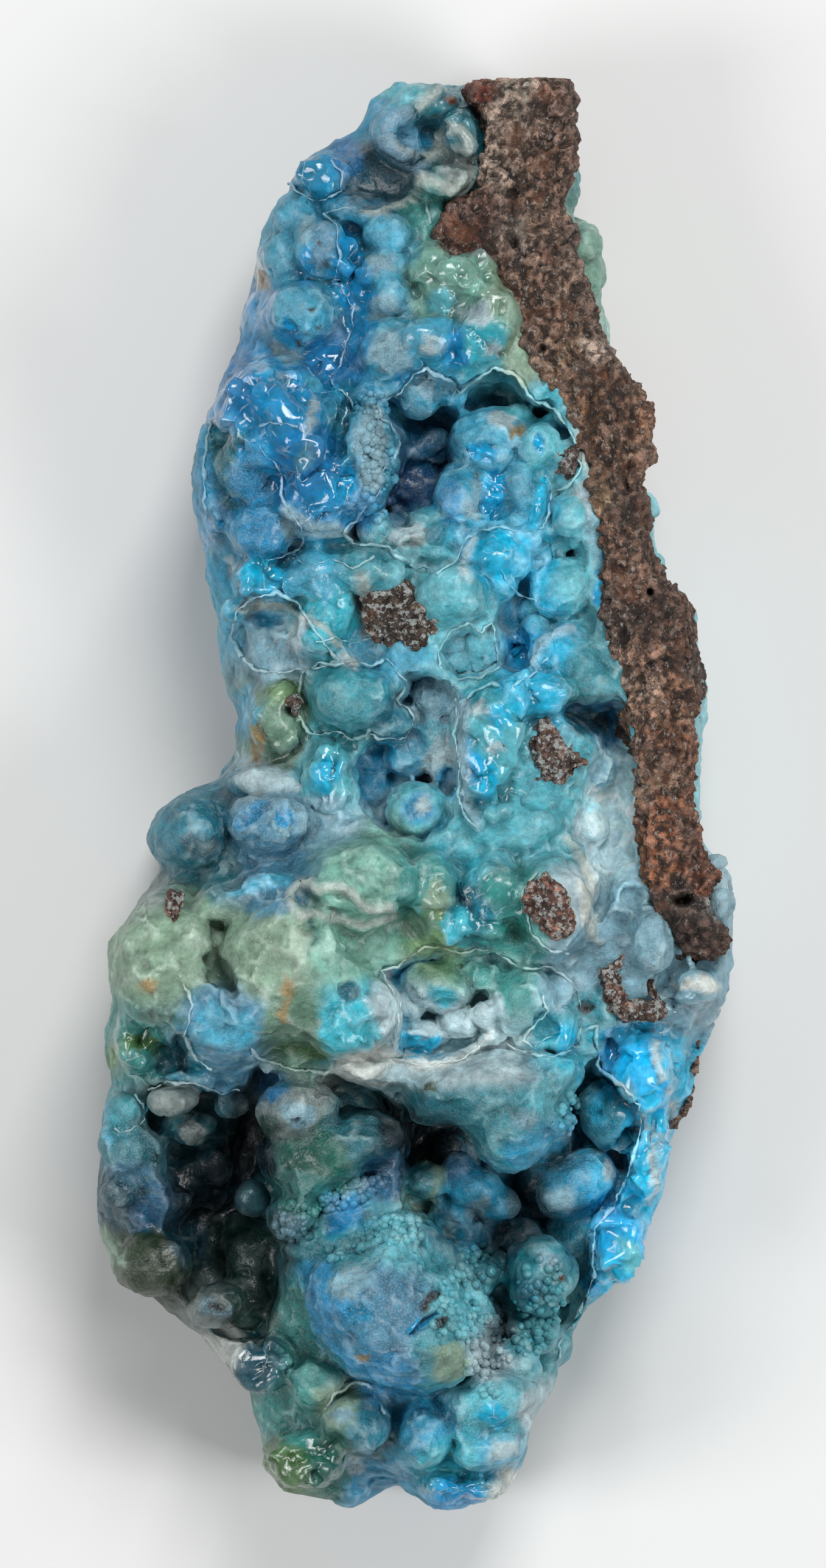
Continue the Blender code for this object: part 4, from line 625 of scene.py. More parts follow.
# Thick broken lips: colour, half-width, rise, line
LIPS = [
    ("chalk", 0.34, 0.4, [
        (1.3, 38.9), (0.6, 38.2), (-0.1, 37.6), (-1.2, 37.2), (-1.6, 36.6), (-1.5, 35.9), (-0.9, 35.4),
        (-0.1, 35.1), (0.7, 35.05), (1.2, 35.4), (1.3, 36.2), (1.9, 36.7), (2.5, 36.5), (2.9, 36),
        (3, 35.2), (3, 34), (2.6, 33.2), (2, 33.05), (1.5, 33.4), (0.9, 33.7), (0.4, 33.8),
    ]),
    ("grey blue", 0.5, 0.3, [
        (-0.4, 37.5), (-1.4, 37), (-1.8, 36.4), (-1.6, 35.6), (-0.9, 35), (0.2, 34.6),
    ]),
    ("chalk", 0.2, 0.3, [(0.4, 33.8), (0.1, 33.1), (-0.3, 32.6), (-1.2, 32.4), (-2, 32), (-2.8, 31.95)]),
    ("chalk", 0.28, 0.35, [
        (8.3, -2.4), (8.7, -2.9), (9.2, -3.6), (9.5, -4.4), (9.8, -5), (9.7, -5.7), (9.4, -6.2),
        (9.7, -7), (9.7, -7.8), (10, -8.2),
    ]),
    ("chalk", 0.26, 0.4, [
        (-6.3, -4.85), (-6.8, -5.4), (-6.8, -6.3), (-6.3, -6.7), (-5.2, -6.6), (-4.4, -6.9), (-3.4, -7.2),
        (-2.6, -7.2), (-1.9, -7), (-1.2, -6.8),
    ]),
    ("chalk", 0.3, 0.35, [
        (-6, -4.9), (-5.3, -5.3), (-4.7, -5.1), (-4.1, -5.1), (-3.6, -5.4), (-3.1, -5.9), (-2.6, -6.3),
        (-2, -6.4), (-1.4, -6.3),
    ]),
    ("white", 0.22, 0.35, [
        (-3.6, -15), (-2.8, -15.4), (-1.8, -14.9), (-1, -14.5), (0, -14.9), (1.2, -14.8), (2.4, -14.6),
        (3.3, -14.1), (4.2, -13.2),
    ]),
    ("frost", 0.3, 0.3, [(-4.2, 14.6), (-4.8, 14.3), (-5.6, 14.6), (-6.4, 15), (-7.1, 15.6)]),
    ("chalk", 0.2, 0.25, [
        (-3.3, 7.1), (-4.2, 8.2), (-5.2, 9.2), (-6.2, 9.7), (-7, 10.2), (-8.2, 10.4), (-9.4, 9.9),
    ]),
    ("frost", 0.35, 0.3, [(2.6, 4.8), (2.5, 3), (2.6, 1), (2.8, -0.6), (3.4, -1.6)]),
    ("chalk", 0.22, 0.3, [(9, 22), (9.2, 20.8), (8.9, 19.6), (9.2, 18.4), (9.6, 17.2)]),
    ("frost", 0.3, 0.3, [(6.4, 7.2), (6.8, 8.2), (7.6, 8.9), (8.6, 9.1)]),
    ("ice", 0.25, 0.3, [(3.2, 13.9), (2.8, 13.2), (2.6, 12.4), (3, 11.8)]),
]


def hashed(cells, seed):
    """A number from 0 to 1 for each cell of a cubic net."""
    mixed = cells[..., 0].astype(np.uint32) * np.uint32(0x8DA6B343)
    mixed ^= cells[..., 1].astype(np.uint32) * np.uint32(0xD8163841)
    mixed ^= cells[..., 2].astype(np.uint32) * np.uint32(0xCB1AB31F)
    mixed ^= np.uint32((seed * 0x9E3779B1) & 0xFFFFFFFF)
    mixed ^= mixed >> np.uint32(15)
    mixed *= np.uint32(0x2C1B3C6D)
    mixed ^= mixed >> np.uint32(12)
    mixed *= np.uint32(0x297A2D39)
    mixed ^= mixed >> np.uint32(15)
    return mixed / 4294967296.0


def wave_noise(points, grain, seed):
    """Smooth noise from -1 to 1 with bumps about one grain wide."""
    place = points / grain
    corner = np.floor(place).astype(np.int64)
    part = place - corner
    part = part * part * (3.0 - 2.0 * part)
    total = np.zeros(len(points))
    for step in itertools.product((0, 1), repeat=3):
        weight = np.ones(len(points))
        for axis in range(3):
            weight *= part[:, axis] if step[axis] else 1.0 - part[:, axis]
        total += weight * hashed(corner + np.array(step), seed)
    return total * 2.0 - 1.0


def rough_noise(points, grain, seed, layers=3):
    """Noise with finer and fainter layers on it."""
    return sum(
        wave_noise(points, grain / 2.0 ** layer, seed + layer) / 1.8 ** layer
        for layer in range(layers)
    )


def stone_cells(points, size, seed):
    """Distances to the nearest and next scattered grain, with the nearest one's place and number."""
    place = points / size
    base = np.floor(place).astype(np.int64)
    first = np.full(len(points), 9.0)
    second = np.full(len(points), 9.0)
    centre = np.zeros((len(points), 3))
    number = np.zeros(len(points))
    for step in itertools.product((-1, 0, 1), repeat=3):
        cell = base + np.array(step)
        spot = cell + np.stack([hashed(cell, seed + 1 + axis) for axis in range(3)], axis=1)
        distance = np.linalg.norm(place - spot, axis=1)
        closer = distance < first
        second = np.where(closer, first, np.minimum(second, distance))
        first = np.where(closer, distance, first)
        centre[closer] = spot[closer]
        number = np.where(closer, hashed(cell, seed), number)
    return first * size, second * size, centre * size, number


def edge_table(stretches):
    """The edge's corners, each with its rim height and shoulder width."""
    return np.array([
        (x, y, rim, shoulder) for rim, shoulder, corners in stretches for x, y in corners
    ])


def nearest_on_edge(points, table):
    """For each point: its distance inside the edge, and the edge's nearest place and values."""
    ends = np.roll(table, -1, axis=0)
    runs = ends[:, :2] - table[:, :2]
    climb = np.where(runs[:, 1] == 0.0, 1.0, runs[:, 1])
    depths = []
    feet = []
    for chunk in np.array_split(points, max(1, len(points) // CHUNK)):
        offsets = chunk[:, None, :] - table[None, :, :2]
        share = np.clip((offsets * runs).sum(axis=2) / (runs ** 2).sum(axis=1), 0.0, 1.0)
        gap = offsets - share[..., None] * runs[None]
        distance = np.sqrt((gap ** 2).sum(axis=2))
        nearest = distance.argmin(axis=1)
        rows = np.arange(len(chunk))
        crosses = (table[:, 1] > chunk[:, None, 1]) != (ends[:, 1] > chunk[:, None, 1])
        crossing_x = table[:, 0] + (chunk[:, None, 1] - table[:, 1]) / climb * runs[:, 0]
        inside = (crosses & (chunk[:, None, 0] < crossing_x)).sum(axis=1) % 2 == 1
        depths.append(np.where(inside, 1.0, -1.0) * distance[rows, nearest])
        part = share[rows, nearest][:, None]
        feet.append(table[nearest] + part * (ends - table)[nearest])
    return np.concatenate(depths), np.concatenate(feet)


def depth_inside(points, corners, margin=1.0):
    """Distance inside an outline for the points near it, and far below zero for all others."""
    corners = np.array(corners)
    near = (points > corners.min(axis=0) - margin) & (points < corners.max(axis=0) + margin)
    near = near.all(axis=1)
    depth = np.full(len(points), -99.0)
    if near.any():
        depth[near], _ = nearest_on_edge(points[near], corners)
    return depth


def level_at(points, levels):
    """Height of the front between its named levels."""
    table = np.array(levels, dtype=float)
    spans = ((points[:, None, :] - table[None, :, :2]) ** 2).sum(axis=2)
    weights = 1.0 / (spans + LEVEL_SOFTNESS ** 2) ** 2
    return (weights * table[:, 2]).sum(axis=1) / weights.sum(axis=1)


def quarter_round(depth, width):
    """Rise from 0 at the edge to 1 at the shoulder's inner side, as a quarter of a circle."""
    reach = np.clip(depth / width, 0.0, 1.0)
    return np.sqrt(1.0 - (1.0 - reach) ** 2)


def smooth_front(points, table, levels):
    """Front height of a plain pillow over an edge."""
    depth, foot = nearest_on_edge(points, table)
    depth = np.where(depth < 1e-3, 0.0, depth)
    return foot[:, 2] + (level_at(points, levels) - foot[:, 2]) * quarter_round(depth, foot[:, 3])


def oval_reach(points, x, y, along, across, turn=0):
    """How far a point is from an oval's middle: 1 on its edge."""
    angle = math.radians(turn)
    across_x, across_y = points[:, 0] - x, points[:, 1] - y
    first = (across_x * math.cos(angle) + across_y * math.sin(angle)) / along
    second = (across_y * math.cos(angle) - across_x * math.sin(angle)) / across
    return np.hypot(first, second)


CRUST_TABLE = edge_table(CRUST_EDGE)
CRUST_FIELD = [(x, y, height - FIELD_SINK) for x, y, height in CRUST_LEVELS]


def crust_front(points):
    """Front height of the crust with its plates and hollows, before its balls."""
    high = smooth_front(points, CRUST_TABLE, CRUST_FIELD)
    flat = np.column_stack([points, np.zeros(len(points))])
    sway = np.stack([rough_noise(flat, 0.9, 31), rough_noise(flat, 0.9, 41)], axis=1) * 0.16
    for top, melt, *oval in CRUST_SWELLS:
        reach = oval_reach(points, *oval)
        near = reach < 1.0
        depth = 0.9 * min(oval[2:4])
        ball = top - depth + depth * np.sqrt(1.0 - reach[near] ** 2)
        swelled = melt * np.logaddexp(0.0, (ball - high[near]) / melt)
        high[near] += swelled * quarter_round(1.0 - reach[near], 0.3)
    for rise, lip, corners in CRUST_PLATES:
        inner = depth_inside(points + sway, corners)
        high = high + rise * np.clip(inner / lip, 0.0, 1.0)
    for floor, wall, _, corners in CRUST_HOLLOWS:
        inner = depth_inside(points + sway, corners)
        sunk = np.minimum(high, floor)
        high = high + (sunk - high) * quarter_round(np.maximum(inner, 0.0), wall)
    return high


def solid_object(name, mesh):
    """Put a mesh in the scene as an object of its own."""
    solid = bpy.data.objects.new(name, mesh)
    bpy.context.scene.collection.objects.link(solid)
    return solid


def mesh_from(name, form):
    """Turn a bmesh into a mesh and free it."""
    mesh = bpy.data.meshes.new(name)
    form.to_mesh(mesh)
    form.free()
    return mesh


def pillow(name, table, front, undercut, cell, underside=UNDERSIDE_DEPTH):
    """A closed body whose front and back sheets meet along the edge's outline."""
    low = table[:, :2].min(axis=0) - cell
    high = table[:, :2].max(axis=0) + cell
    cells = np.ceil((high - low) / cell).astype(int)
    form = bmesh.new()
    place = Matrix.Translation((*((low + high) / 2), 0.0)) @ Matrix.Diagonal((*(high - low), 1.0, 1.0))
    bmesh.ops.create_grid(
        form, x_segments=int(cells[0]), y_segments=int(cells[1]), size=0.5, matrix=place
    )
    centres = np.array([face.calc_center_median()[:2] for face in form.faces])
    depth, _ = nearest_on_edge(centres, table)
    outside = [face for face, inner in zip(form.faces, depth) if inner <= 0.0]
    bmesh.ops.delete(form, geom=outside, context="FACES")
    border = [vertex for vertex in form.verts if vertex.is_boundary]
    _, feet = nearest_on_edge(np.array([vertex.co[:2] for vertex in border]), table)
    for vertex, foot in zip(border, feet):
        vertex.co.x, vertex.co.y = foot[:2]
    back = bmesh.ops.duplicate(form, geom=form.verts[:] + form.edges[:] + form.faces[:])["geom"]
    back_faces = [part for part in back if isinstance(part, bmesh.types.BMFace)]
    back_points = {part for part in back if isinstance(part, bmesh.types.BMVert)}
    bmesh.ops.reverse_faces(form, faces=back_faces)
    points = np.array([vertex.co[:2] for vertex in form.verts])
    depth, foot = nearest_on_edge(points, table)
    front_z = front(points)
    back_z = foot[:, 2] + (underside - foot[:, 2]) * np.clip(depth / undercut, 0.0, 1.0)
    for vertex, high_z, low_z, inner in zip(form.verts, front_z, back_z, depth):
        vertex.co.z = low_z if vertex in back_points or inner < 1e-3 else max(high_z, low_z + 0.5)
    bmesh.ops.remove_doubles(form, verts=form.verts, dist=1e-3)
    bmesh.ops.scale(form, vec=(MM, MM, MM), verts=form.verts)
    return solid_object(name, mesh_from(name, form))


def shape_into(form, shape):
    """Add a small shape to a form and free it."""
    skin = mesh_from("shape", shape)
    form.from_mesh(skin)
    bpy.data.meshes.remove(skin)


def lumps_into(form, lumps, smoothness=4):
    """Add balls and lumps that stand up to the heights given for their tops."""
    for x, y, top, along, across, *turn in lumps:
        depth = 1.15 * max(along, across)
        place = Matrix.Translation(Vector((x, y, top - depth)) * MM)
        if turn:
            place = place @ Matrix.Rotation(math.radians(turn[0]), 4, "Z")
        place = place @ Matrix.Diagonal((along * MM, across * MM, depth * MM, 1.0))
        ball = bmesh.new()
        bmesh.ops.create_icosphere(ball, subdivisions=smoothness, radius=1.0, matrix=place)
        shape_into(form, ball)


def side_lumps():
    """Balls around the crust's free edge, below its widest line, placed by a seeded draw."""
    draw = random.Random(SIDE_LUMP_SEED)
    lumps = []
    free_edge = [corner for _, _, corners in CRUST_EDGE[3:] for corner in corners]
    for start, end in zip(free_edge, free_edge[1:]):
        run = Vector(end) - Vector(start)
        inward = Vector((run.y, -run.x)).normalized()
        count = max(1, round(run.length / SIDE_LUMP_STEP))
        for step in range(count):
            radius = draw.uniform(*SIDE_LUMP_RADII)
            place = Vector(start) + run * ((step + 0.5) / count)
            place += inward * radius * 1.15
            top = draw.uniform(*SIDE_LUMP_HEIGHTS) + radius
            lumps.append((place.x, place.y, top, radius, radius))
    return lumps


def knobs(line, side, radii, heights, seed):
    """Small knobs all over the outer side of a thin crust, placed by a seeded draw."""
    draw = random.Random(seed)
    lumps = []
    for start, end in zip(line, line[1:]):
        run = Vector(end) - Vector(start)
        inward = Vector((run.y, -run.x)).normalized() * side
        for _ in range(max(2, round(run.length * 2.6))):
            radius = draw.uniform(*radii)
            place = Vector(start) + run * draw.random() + inward * radius * draw.uniform(0.9, 1.3)
            lumps.append((place.x, place.y, draw.uniform(*heights) + radius, radius, radius))
    return lumps


def nest_lumps():
    """Small balls on the walls and floors of the hollows, by a seeded draw."""
    draw = random.Random(NEST_SEED)
    lumps = []
    for hollow, count, radii in NESTS:
        corners = np.array(CRUST_HOLLOWS[hollow][3])
        low, high = corners.min(axis=0), corners.max(axis=0)
        spots = []
        while len(spots) < count:
            spot = (draw.uniform(low[0], high[0]), draw.uniform(low[1], high[1]))
            if nearest_on_edge(np.array([spot]), corners)[0][0] > 0.5:
                spots.append(spot)
        for (x, y), ground in zip(spots, crust_front(np.array(spots))):
            radius = draw.uniform(*radii)
            lumps.append((x, y, ground + radius * draw.uniform(0.9, 1.5), radius, radius))
    return lumps


def settle(solid):
    """Give a solid the mesh that its modifiers make, and drop the modifiers."""
    bpy.context.view_layer.update()
    shaped = solid.evaluated_get(bpy.context.evaluated_depsgraph_get())
    solid.data = bpy.data.meshes.new_from_object(shaped)
    solid.modifiers.clear()


def remesh(solid, voxel):
    """Melt all that is in a solid into one skin."""
    modifier = solid.modifiers.new("Skin", "REMESH")
    modifier.mode = "VOXEL"
    modifier.voxel_size = voxel * MM
    settle(solid)


def trim_underside(solid):
    """Saw the back off flat at height zero."""
    form = bmesh.new()
    form.from_mesh(solid.data)
    geometry = form.verts[:] + form.edges[:] + form.faces[:]
    bmesh.ops.bisect_plane(
        form, geom=geometry, dist=1e-7, plane_co=(0, 0, 0), plane_no=(0, 0, 1), clear_inner=True
    )
    rim = [edge for edge in form.edges if edge.is_boundary]
    bmesh.ops.holes_fill(form, edges=rim, sides=0)
    bmesh.ops.triangulate(form, faces=[face for face in form.faces if len(face.verts) > 3])
    form.to_mesh(solid.data)
    form.free()


def thin_out(solid, triangles):
    """Bring a solid down to about so many triangles, a little finer where it faces the viewer."""
    form = bmesh.new()
    form.from_mesh(solid.data)
    bmesh.ops.triangulate(form, faces=form.faces)
    form.to_mesh(solid.data)
    form.free()
    group = solid.vertex_groups.new(name="hidden")
    hidden = skin_normals(solid)[:, 2] < -0.1
    group.add(np.flatnonzero(hidden).tolist(), 1.0, "REPLACE")
    group.add(np.flatnonzero(~hidden).tolist(), SHOWN_WEIGHT, "REPLACE")
    modifier = solid.modifiers.new("Facets", "DECIMATE")
    modifier.ratio = triangles / len(solid.data.polygons)
    modifier.vertex_group = "hidden"
    modifier.vertex_group_factor = HIDDEN_SHARE
    settle(solid)
    solid.vertex_groups.clear()


def skin_points(solid):
    """A solid's vertices in millimetres."""
    flat = np.empty(len(solid.data.vertices) * 3)
    solid.data.vertices.foreach_get("co", flat)
    return flat.reshape(-1, 3) / MM


def skin_normals(solid):
    """The directions in which a solid's skin faces at its vertices."""
    flat = np.empty(len(solid.data.vertices) * 3)
    solid.data.vertex_normals.foreach_get("vector", flat)
    return flat.reshape(-1, 3)


def shift_skin(solid, points):
    """Move a solid's vertices to new places, given in millimetres."""
    solid.data.vertices.foreach_set("co", (points * MM).ravel())
    solid.data.update()


def soft_zone(points, patches, seed):
    """Strength from 0 to 1 of a finish that covers some ovals with ragged edges."""
    ragged = 0.25 * rough_noise(points, 1.1, seed)
    strength = np.zeros(len(points))
    for most, *oval in patches:
        reach = oval_reach(points, *oval) + ragged
        strength = np.maximum(strength, most * np.clip((1.15 - reach) / 0.3, 0.0, 1.0))
    return strength


def line_reach(points, corners):
    """Distance in plan from a line of straight runs."""
    corners = np.array(corners)
    spots = points[:, :2]
    near = ((spots > corners.min(axis=0) - 1.5) & (spots < corners.max(axis=0) + 1.5)).all(axis=1)
    reach = np.full(len(points), 99.0)
    for start, run in zip(corners, np.diff(corners, axis=0)):
        offset = spots[near] - start
        share = np.clip(offset @ run / (run @ run), 0.0, 1.0)
        reach[near] = np.minimum(reach[near], np.hypot(*(offset - share[:, None] * run).T))
    return reach


def scallops(points):
    """Thin broken edges of the crust's overlapping layers: 1 on them, 0 away from them."""
    swayed = points + 0.5 * np.stack([wave_noise(points, 0.9, seed) for seed in (401, 402, 403)], axis=1)
    first, second, _, _ = stone_cells(swayed, 2.1, 29)
    shown = np.clip(rough_noise(points, 1.7, 411) * 2.0 + 0.7, 0.0, 1.0)
    return np.exp(-((second - first) / 0.17) ** 2) * shown


def crust_relief(solid):
    """Give the crust its facets, beads, lips, broken windows and pits."""
    points, normals = skin_points(solid), skin_normals(solid)
    facing = np.clip(normals[:, 2] * 2.0, 0.0, 1.0)
    lift = 0.26 * rough_noise(points, 2.4, 3)
    glassy = soft_zone(points, GLASSY, 51) * facing
    frosted = soft_zone(points, FROSTED, 121)
    shown = glassy > 0.02
    for size, slope, seed in ((4.0, 0.5, 7), (1.9, 0.34, 17)):
        _, _, centre, number = stone_cells(points[shown], size, seed)
        angle = number * 2.0 * math.pi
        offset = points[shown] - centre
        tilt = offset[:, 0] * np.cos(angle) + offset[:, 1] * np.sin(angle)
        lift[shown] += glassy[shown] * slope * np.clip(tilt, -0.9, 0.9)
    beaded = soft_zone(points, BEADED, 61)
    shown = beaded > 0.02
    first, _, _, _ = stone_cells(points[shown], 0.8, 23)
    lift[shown] += beaded[shown] * 0.4 * np.sqrt(np.clip(1.0 - (first / 0.65) ** 2, 0.0, 1.0))
    plain = (1.0 - glassy) * (1.0 - beaded)
    for size, height, seed in ((1.7, 0.14, 29), (0.8, 0.05, 37)):
        first, second, _, number = stone_cells(points, size, seed)
        lift += plain * height * (number - 0.5 + np.clip((second - first) / size, 0.0, 1.0) ** 0.5 - 0.5)
    lift += (1.0 - glassy) * 0.17 * scallops(points) * facing
    lift += frosted * (0.06 * rough_noise(points, 0.5, 431) + 0.1 * rough_noise(points, 1.1, 441))
    swayed = points + 0.12 * rough_noise(points, 0.7, 451)[:, None]
    for _, half, rise, corners in LIPS:
        reach = line_reach(swayed, corners) / half
        lift += rise * np.exp(-reach ** 4) * facing
    ragged = WINDOW_RAGGED * rough_noise(points, 0.8, 71)
    for drop, *oval in WINDOWS + [speck[1:] for speck in SPECKS]:
        reach = oval_reach(points, *oval) + ragged
        lift -= facing * drop * np.clip((1.0 - reach) / 0.22, 0.0, 1.0)
    shift_skin(solid, points + normals * lift[:, None])


def keep_in_box(solid):
    """Hold a skin within the specimen's outer sizes."""
    low = np.array(cad_low) / MM + 0.02
    high = np.array(cad_high) / MM - 0.02
    low[2] = 0.0
    shift_skin(solid, np.clip(skin_points(solid), low, high))


def stone_colour(name):
    """Linear colour of one of the stone's named colours."""
    part = np.array(STONE_COLOURS[name]) / 255.0
    return np.where(part <= 0.04045, part / 12.92, ((part + 0.055) / 1.055) ** 2.4)


def ground_colours(points, zones):
    """Colour between the places of named colours, each strongest within its reach."""
    table = np.array([place for places in zones.values() for place in places])
    shades = np.array([stone_colour(name) for name, places in zones.items() for _ in places])
    mixed = []
    for chunk in np.array_split(points, max(1, len(points) // CHUNK)):
        spans = ((chunk[:, None, :2] - table[None, :, :2]) ** 2).sum(axis=2) / table[:, 2] ** 2
        weights = 1.0 / (spans + 0.1) ** 4
        mixed.append(weights @ shades / weights.sum(axis=1)[:, None])
    return np.concatenate(mixed)


def skin_swell(solid):
    """How much each vertex stands out from its neighbours, in millimetres."""
    mesh = solid.data
    pairs = np.empty(len(mesh.edges) * 2, dtype=np.int64)
    mesh.edges.foreach_get("vertices", pairs)
    one, other = pairs.reshape(-1, 2).T
    points, normals = skin_points(solid), skin_normals(solid)
    swell = points
    count = np.maximum(np.bincount(pairs, minlength=len(points)), 1)
    for _ in range(3):
        total = [
            np.bincount(one, swell[other, axis], len(points))
            + np.bincount(other, swell[one, axis], len(points)) for axis in range(3)
        ]
        swell = np.stack(total, axis=1) / count[:, None]
    return ((points - swell) * normals).sum(axis=1)


def store_colour(solid, name, colours):
    """Keep a colour per vertex."""
    layer = solid.data.attributes.new(name, "FLOAT_COLOR", "POINT")
    values = np.column_stack([colours, np.ones(len(colours))])
    layer.data.foreach_set("color", values.ravel())


def store_value(solid, name, values):
    """Keep a number per vertex."""
    layer = solid.data.attributes.new(name, "FLOAT", "POINT")
    layer.data.foreach_set("value", values)


def paint_crust(solid, chalked=0.0):
    """Lay the crust's colours, frost and glass on its skin, with painted shade in its creases and painted
    highlights and glints.
    """
    points, normals = skin_points(solid), skin_normals(solid)
    facing = np.clip(normals[:, 2] * 3.0, 0.0, 1.0)
    moved = points.copy()
    moved[:, :2] += np.stack([rough_noise(points, 1.3, 81), rough_noise(points, 1.3, 91)], axis=1) * 0.32
    astray = 1.9 * np.clip(0.9 - normals[:, 2] * 3.0, 0.0, 1.0)[:, None]
    moved[:, :2] += astray * np.stack([rough_noise(points, 3.2, 471), rough_noise(points, 3.2, 481)], axis=1)
    front = ground_colours(moved, FRONT_GROUND)
    deep = ground_colours(moved, DEEP_GROUND)
    inside, foot = nearest_on_edge(points[:, :2], CRUST_TABLE)
    level = smooth_front(points[:, :2], CRUST_TABLE, CRUST_LEVELS)
    sunk = np.clip((level - points[:, 2] - 1.6) / 1.6, 0.0, 1.0) * (inside > 0.8)
    depth = np.clip((level - points[:, 2] - 1.4) / 3.0, 0.0, 1.0)[:, None]
    light = FRONT_LIGHT + (DEEP_LIGHT - FRONT_LIGHT) * depth
    lower = np.clip((UPPER_LOWER_SPLIT - points[:, 1]) / 0.8, 0.0, 1.0) * (points[:, 0] < 9.6)
    sunk = np.maximum(sunk, lower)[:, None]
    shade = np.ones(len(points))
    for strength, *oval in SHADED:
        reach = oval_reach(moved, *oval)
        share = (strength - 1.0) * np.clip((1.3 - reach) / 0.5, 0.0, 1.0)
        light *= 1.0 + share[:, None]
        shade *= np.clip(1.0 + 1.4 * share, 0.1, 1.0)
    colours = (front + (deep - front) * sunk) * light
    ragged = WINDOW_RAGGED * rough_noise(points, 0.8, 71)
    glassy = soft_zone(points, GLASSY, 51)
    frosted = np.maximum(soft_zone(points, FROSTED, 121), 0.4 + 0.3 * rough_noise(points, 2.0, 131))
    frosted *= (1.0 - 0.85 * glassy) * shade
    for name, *oval in CLOUDS:
        reach = oval_reach(moved, *oval) + 0.6 * ragged
        share = np.clip((1.12 - reach) / 0.24, 0.0, 1.0) * np.clip(normals[:, 2] * 2.5 + 0.3, 0.0, 1.0)
        colours += (stone_colour(name) * light - colours) * share[:, None]
        if name in ("frost", "ice", "white", "chalk"):
            frosted = np.maximum(frosted, 0.9 * share)
            glassy *= 1.0 - 0.8 * share
        if name in ("azure", "bright azure", "deep azure", "cyan"):
            glassy = np.maximum(glassy, 0.9 * share)
            frosted *= 1.0 - 0.9 * share
    palest = colours.min(axis=1)
    colours -= (CLEARNESS * palest * (1.0 - palest / (colours.max(axis=1) + 1e-4)))[:, None]
    chalk = stone_colour(EDGE_CHALK) * light * 0.55 + colours * 0.8
    edges = 0.6 * scallops(points) * facing * (1.0 - 0.7 * glassy)
    for _, _, _, corners in CRUST_HOLLOWS:
        inner = depth_inside(moved[:, :2], corners)
        edges = np.maximum(edges, 0.45 * np.exp(-(inner / 0.2) ** 2) * facing)
    by_matrix = (foot[:, 2] > 15.0) & (foot[:, 3] < 0.85)
    edges = np.maximum(edges, 0.5 * by_matrix * np.clip(1.0 - inside / 0.6, 0.0, 1.0))
    swell = skin_swell(solid)
    # Painted highlight: ridges that stand out from their neighbours are paled towards the chalk colour.
    edges = np.maximum(edges, 0.2 * np.clip((swell - 0.055) / 0.1, 0.0, 1.0) * (1.0 - 0.6 * glassy))
    # Painted glints: small white flecks scattered over the faces that look up.
    glint_flecks = 0.45 * np.clip((rough_noise(points, 0.32, 461) - 0.75) / 0.3, 0.0, 1.0)
    glint_flecks *= facing * (1.0 - 0.8 * glassy)
    edges = np.maximum(edges, glint_flecks)
    edges *= 0.4 + 0.6 * shade
    colours += (chalk - colours) * edges[:, None]
    # Painted shade: the colour is darkened where the skin sinks below its neighbours, in the creases.
    colours *= (1.0 - 0.3 * np.clip(-swell / 0.1, 0.0, 1.0))[:, None]
    swayed = points + 0.12 * rough_noise(points, 0.7, 451)[:, None]
    for name, half, _, corners in LIPS:
        reach = line_reach(swayed, corners) / half
        share = 0.85 * np.exp(-reach ** 4) * facing
        colours += (stone_colour(name) * light - colours) * share[:, None]
        frosted = np.maximum(frosted, share)
    fine = 0.3 * rough_noise(points, 0.35, 141)
    for name, _, *oval in SPECKS:
        reach = oval_reach(points, *oval) + ragged + fine
        stain = np.clip((1.1 - reach) / 0.35, 0.0, 1.0) * facing
        colours += (stone_colour(name) * light - colours) * stain[:, None]
    _, _, _, number = stone_cells(points, 1.3, 101)
    colours *= (1.0 + 0.2 * (number - 0.5) + 0.14 * rough_noise(points, 0.6, 111))[:, None]
    colours += (chalk - colours) * chalked
    store_colour(solid, "stone_tint", np.clip(colours, 0.003, 0.92))
    store_value(solid, "stone_glass", np.clip(glassy, 0.0, 1.0))
    store_value(solid, "stone_frost", np.clip(frosted, 0.0, 1.0))


form = bmesh.new()
lumps_into(form, CRUST_BALLS)
arm_knobs = knobs(ARM_EDGE[0][2][:15], -1, (0.5, 1.1), (2.0, 10.4), 501)
lumps_into(form, ARM_LUMPS + arm_knobs + side_lumps() + nest_lumps(), 3)
for rim, shoulder, top, underside, corners in CRUST_LOBES:
    table = edge_table([(rim, shoulder, corners)])
    middle = table[:, :2].mean(axis=0)
    levels = [(*middle, top)]
    lobe = pillow(
        "lobe", table, lambda points: smooth_front(points, table, levels), 2.0, CRUST_CELL, underside
    )
    form.from_mesh(lobe.data)
    bpy.data.objects.remove(lobe, do_unlink=True)
balls = mesh_from("balls", form)
crust = pillow("gibbsite_crust", CRUST_TABLE, crust_front, CRUST_UNDERCUT, CRUST_CELL)
arm_table = edge_table(ARM_EDGE)
arm = pillow(
    "arm", arm_table, lambda points: smooth_front(points, arm_table, ARM_LEVELS), 2.0, CRUST_CELL
)
form = bmesh.new()
for grown in (crust.data, arm.data, balls):
    form.from_mesh(grown)
crust.data = mesh_from("gibbsite_crust", form)
bpy.data.objects.remove(arm, do_unlink=True)
remesh(crust, CRUST_VOXEL)
crust_relief(crust)
trim_underside(crust)
thin_out(crust, CRUST_TRIANGLES)
keep_in_box(crust)
paint_crust(crust)
crust.data.shade_smooth()


def new_node(tree, kind, inputs=(), **settings):
    """Add a node with its settings and the values of some of its inputs."""
    node = tree.nodes.new(kind)
    for name, value in settings.items():
        setattr(node, name, value)
    for socket, value in dict(inputs).items():
        node.inputs[socket].default_value = value
    return node


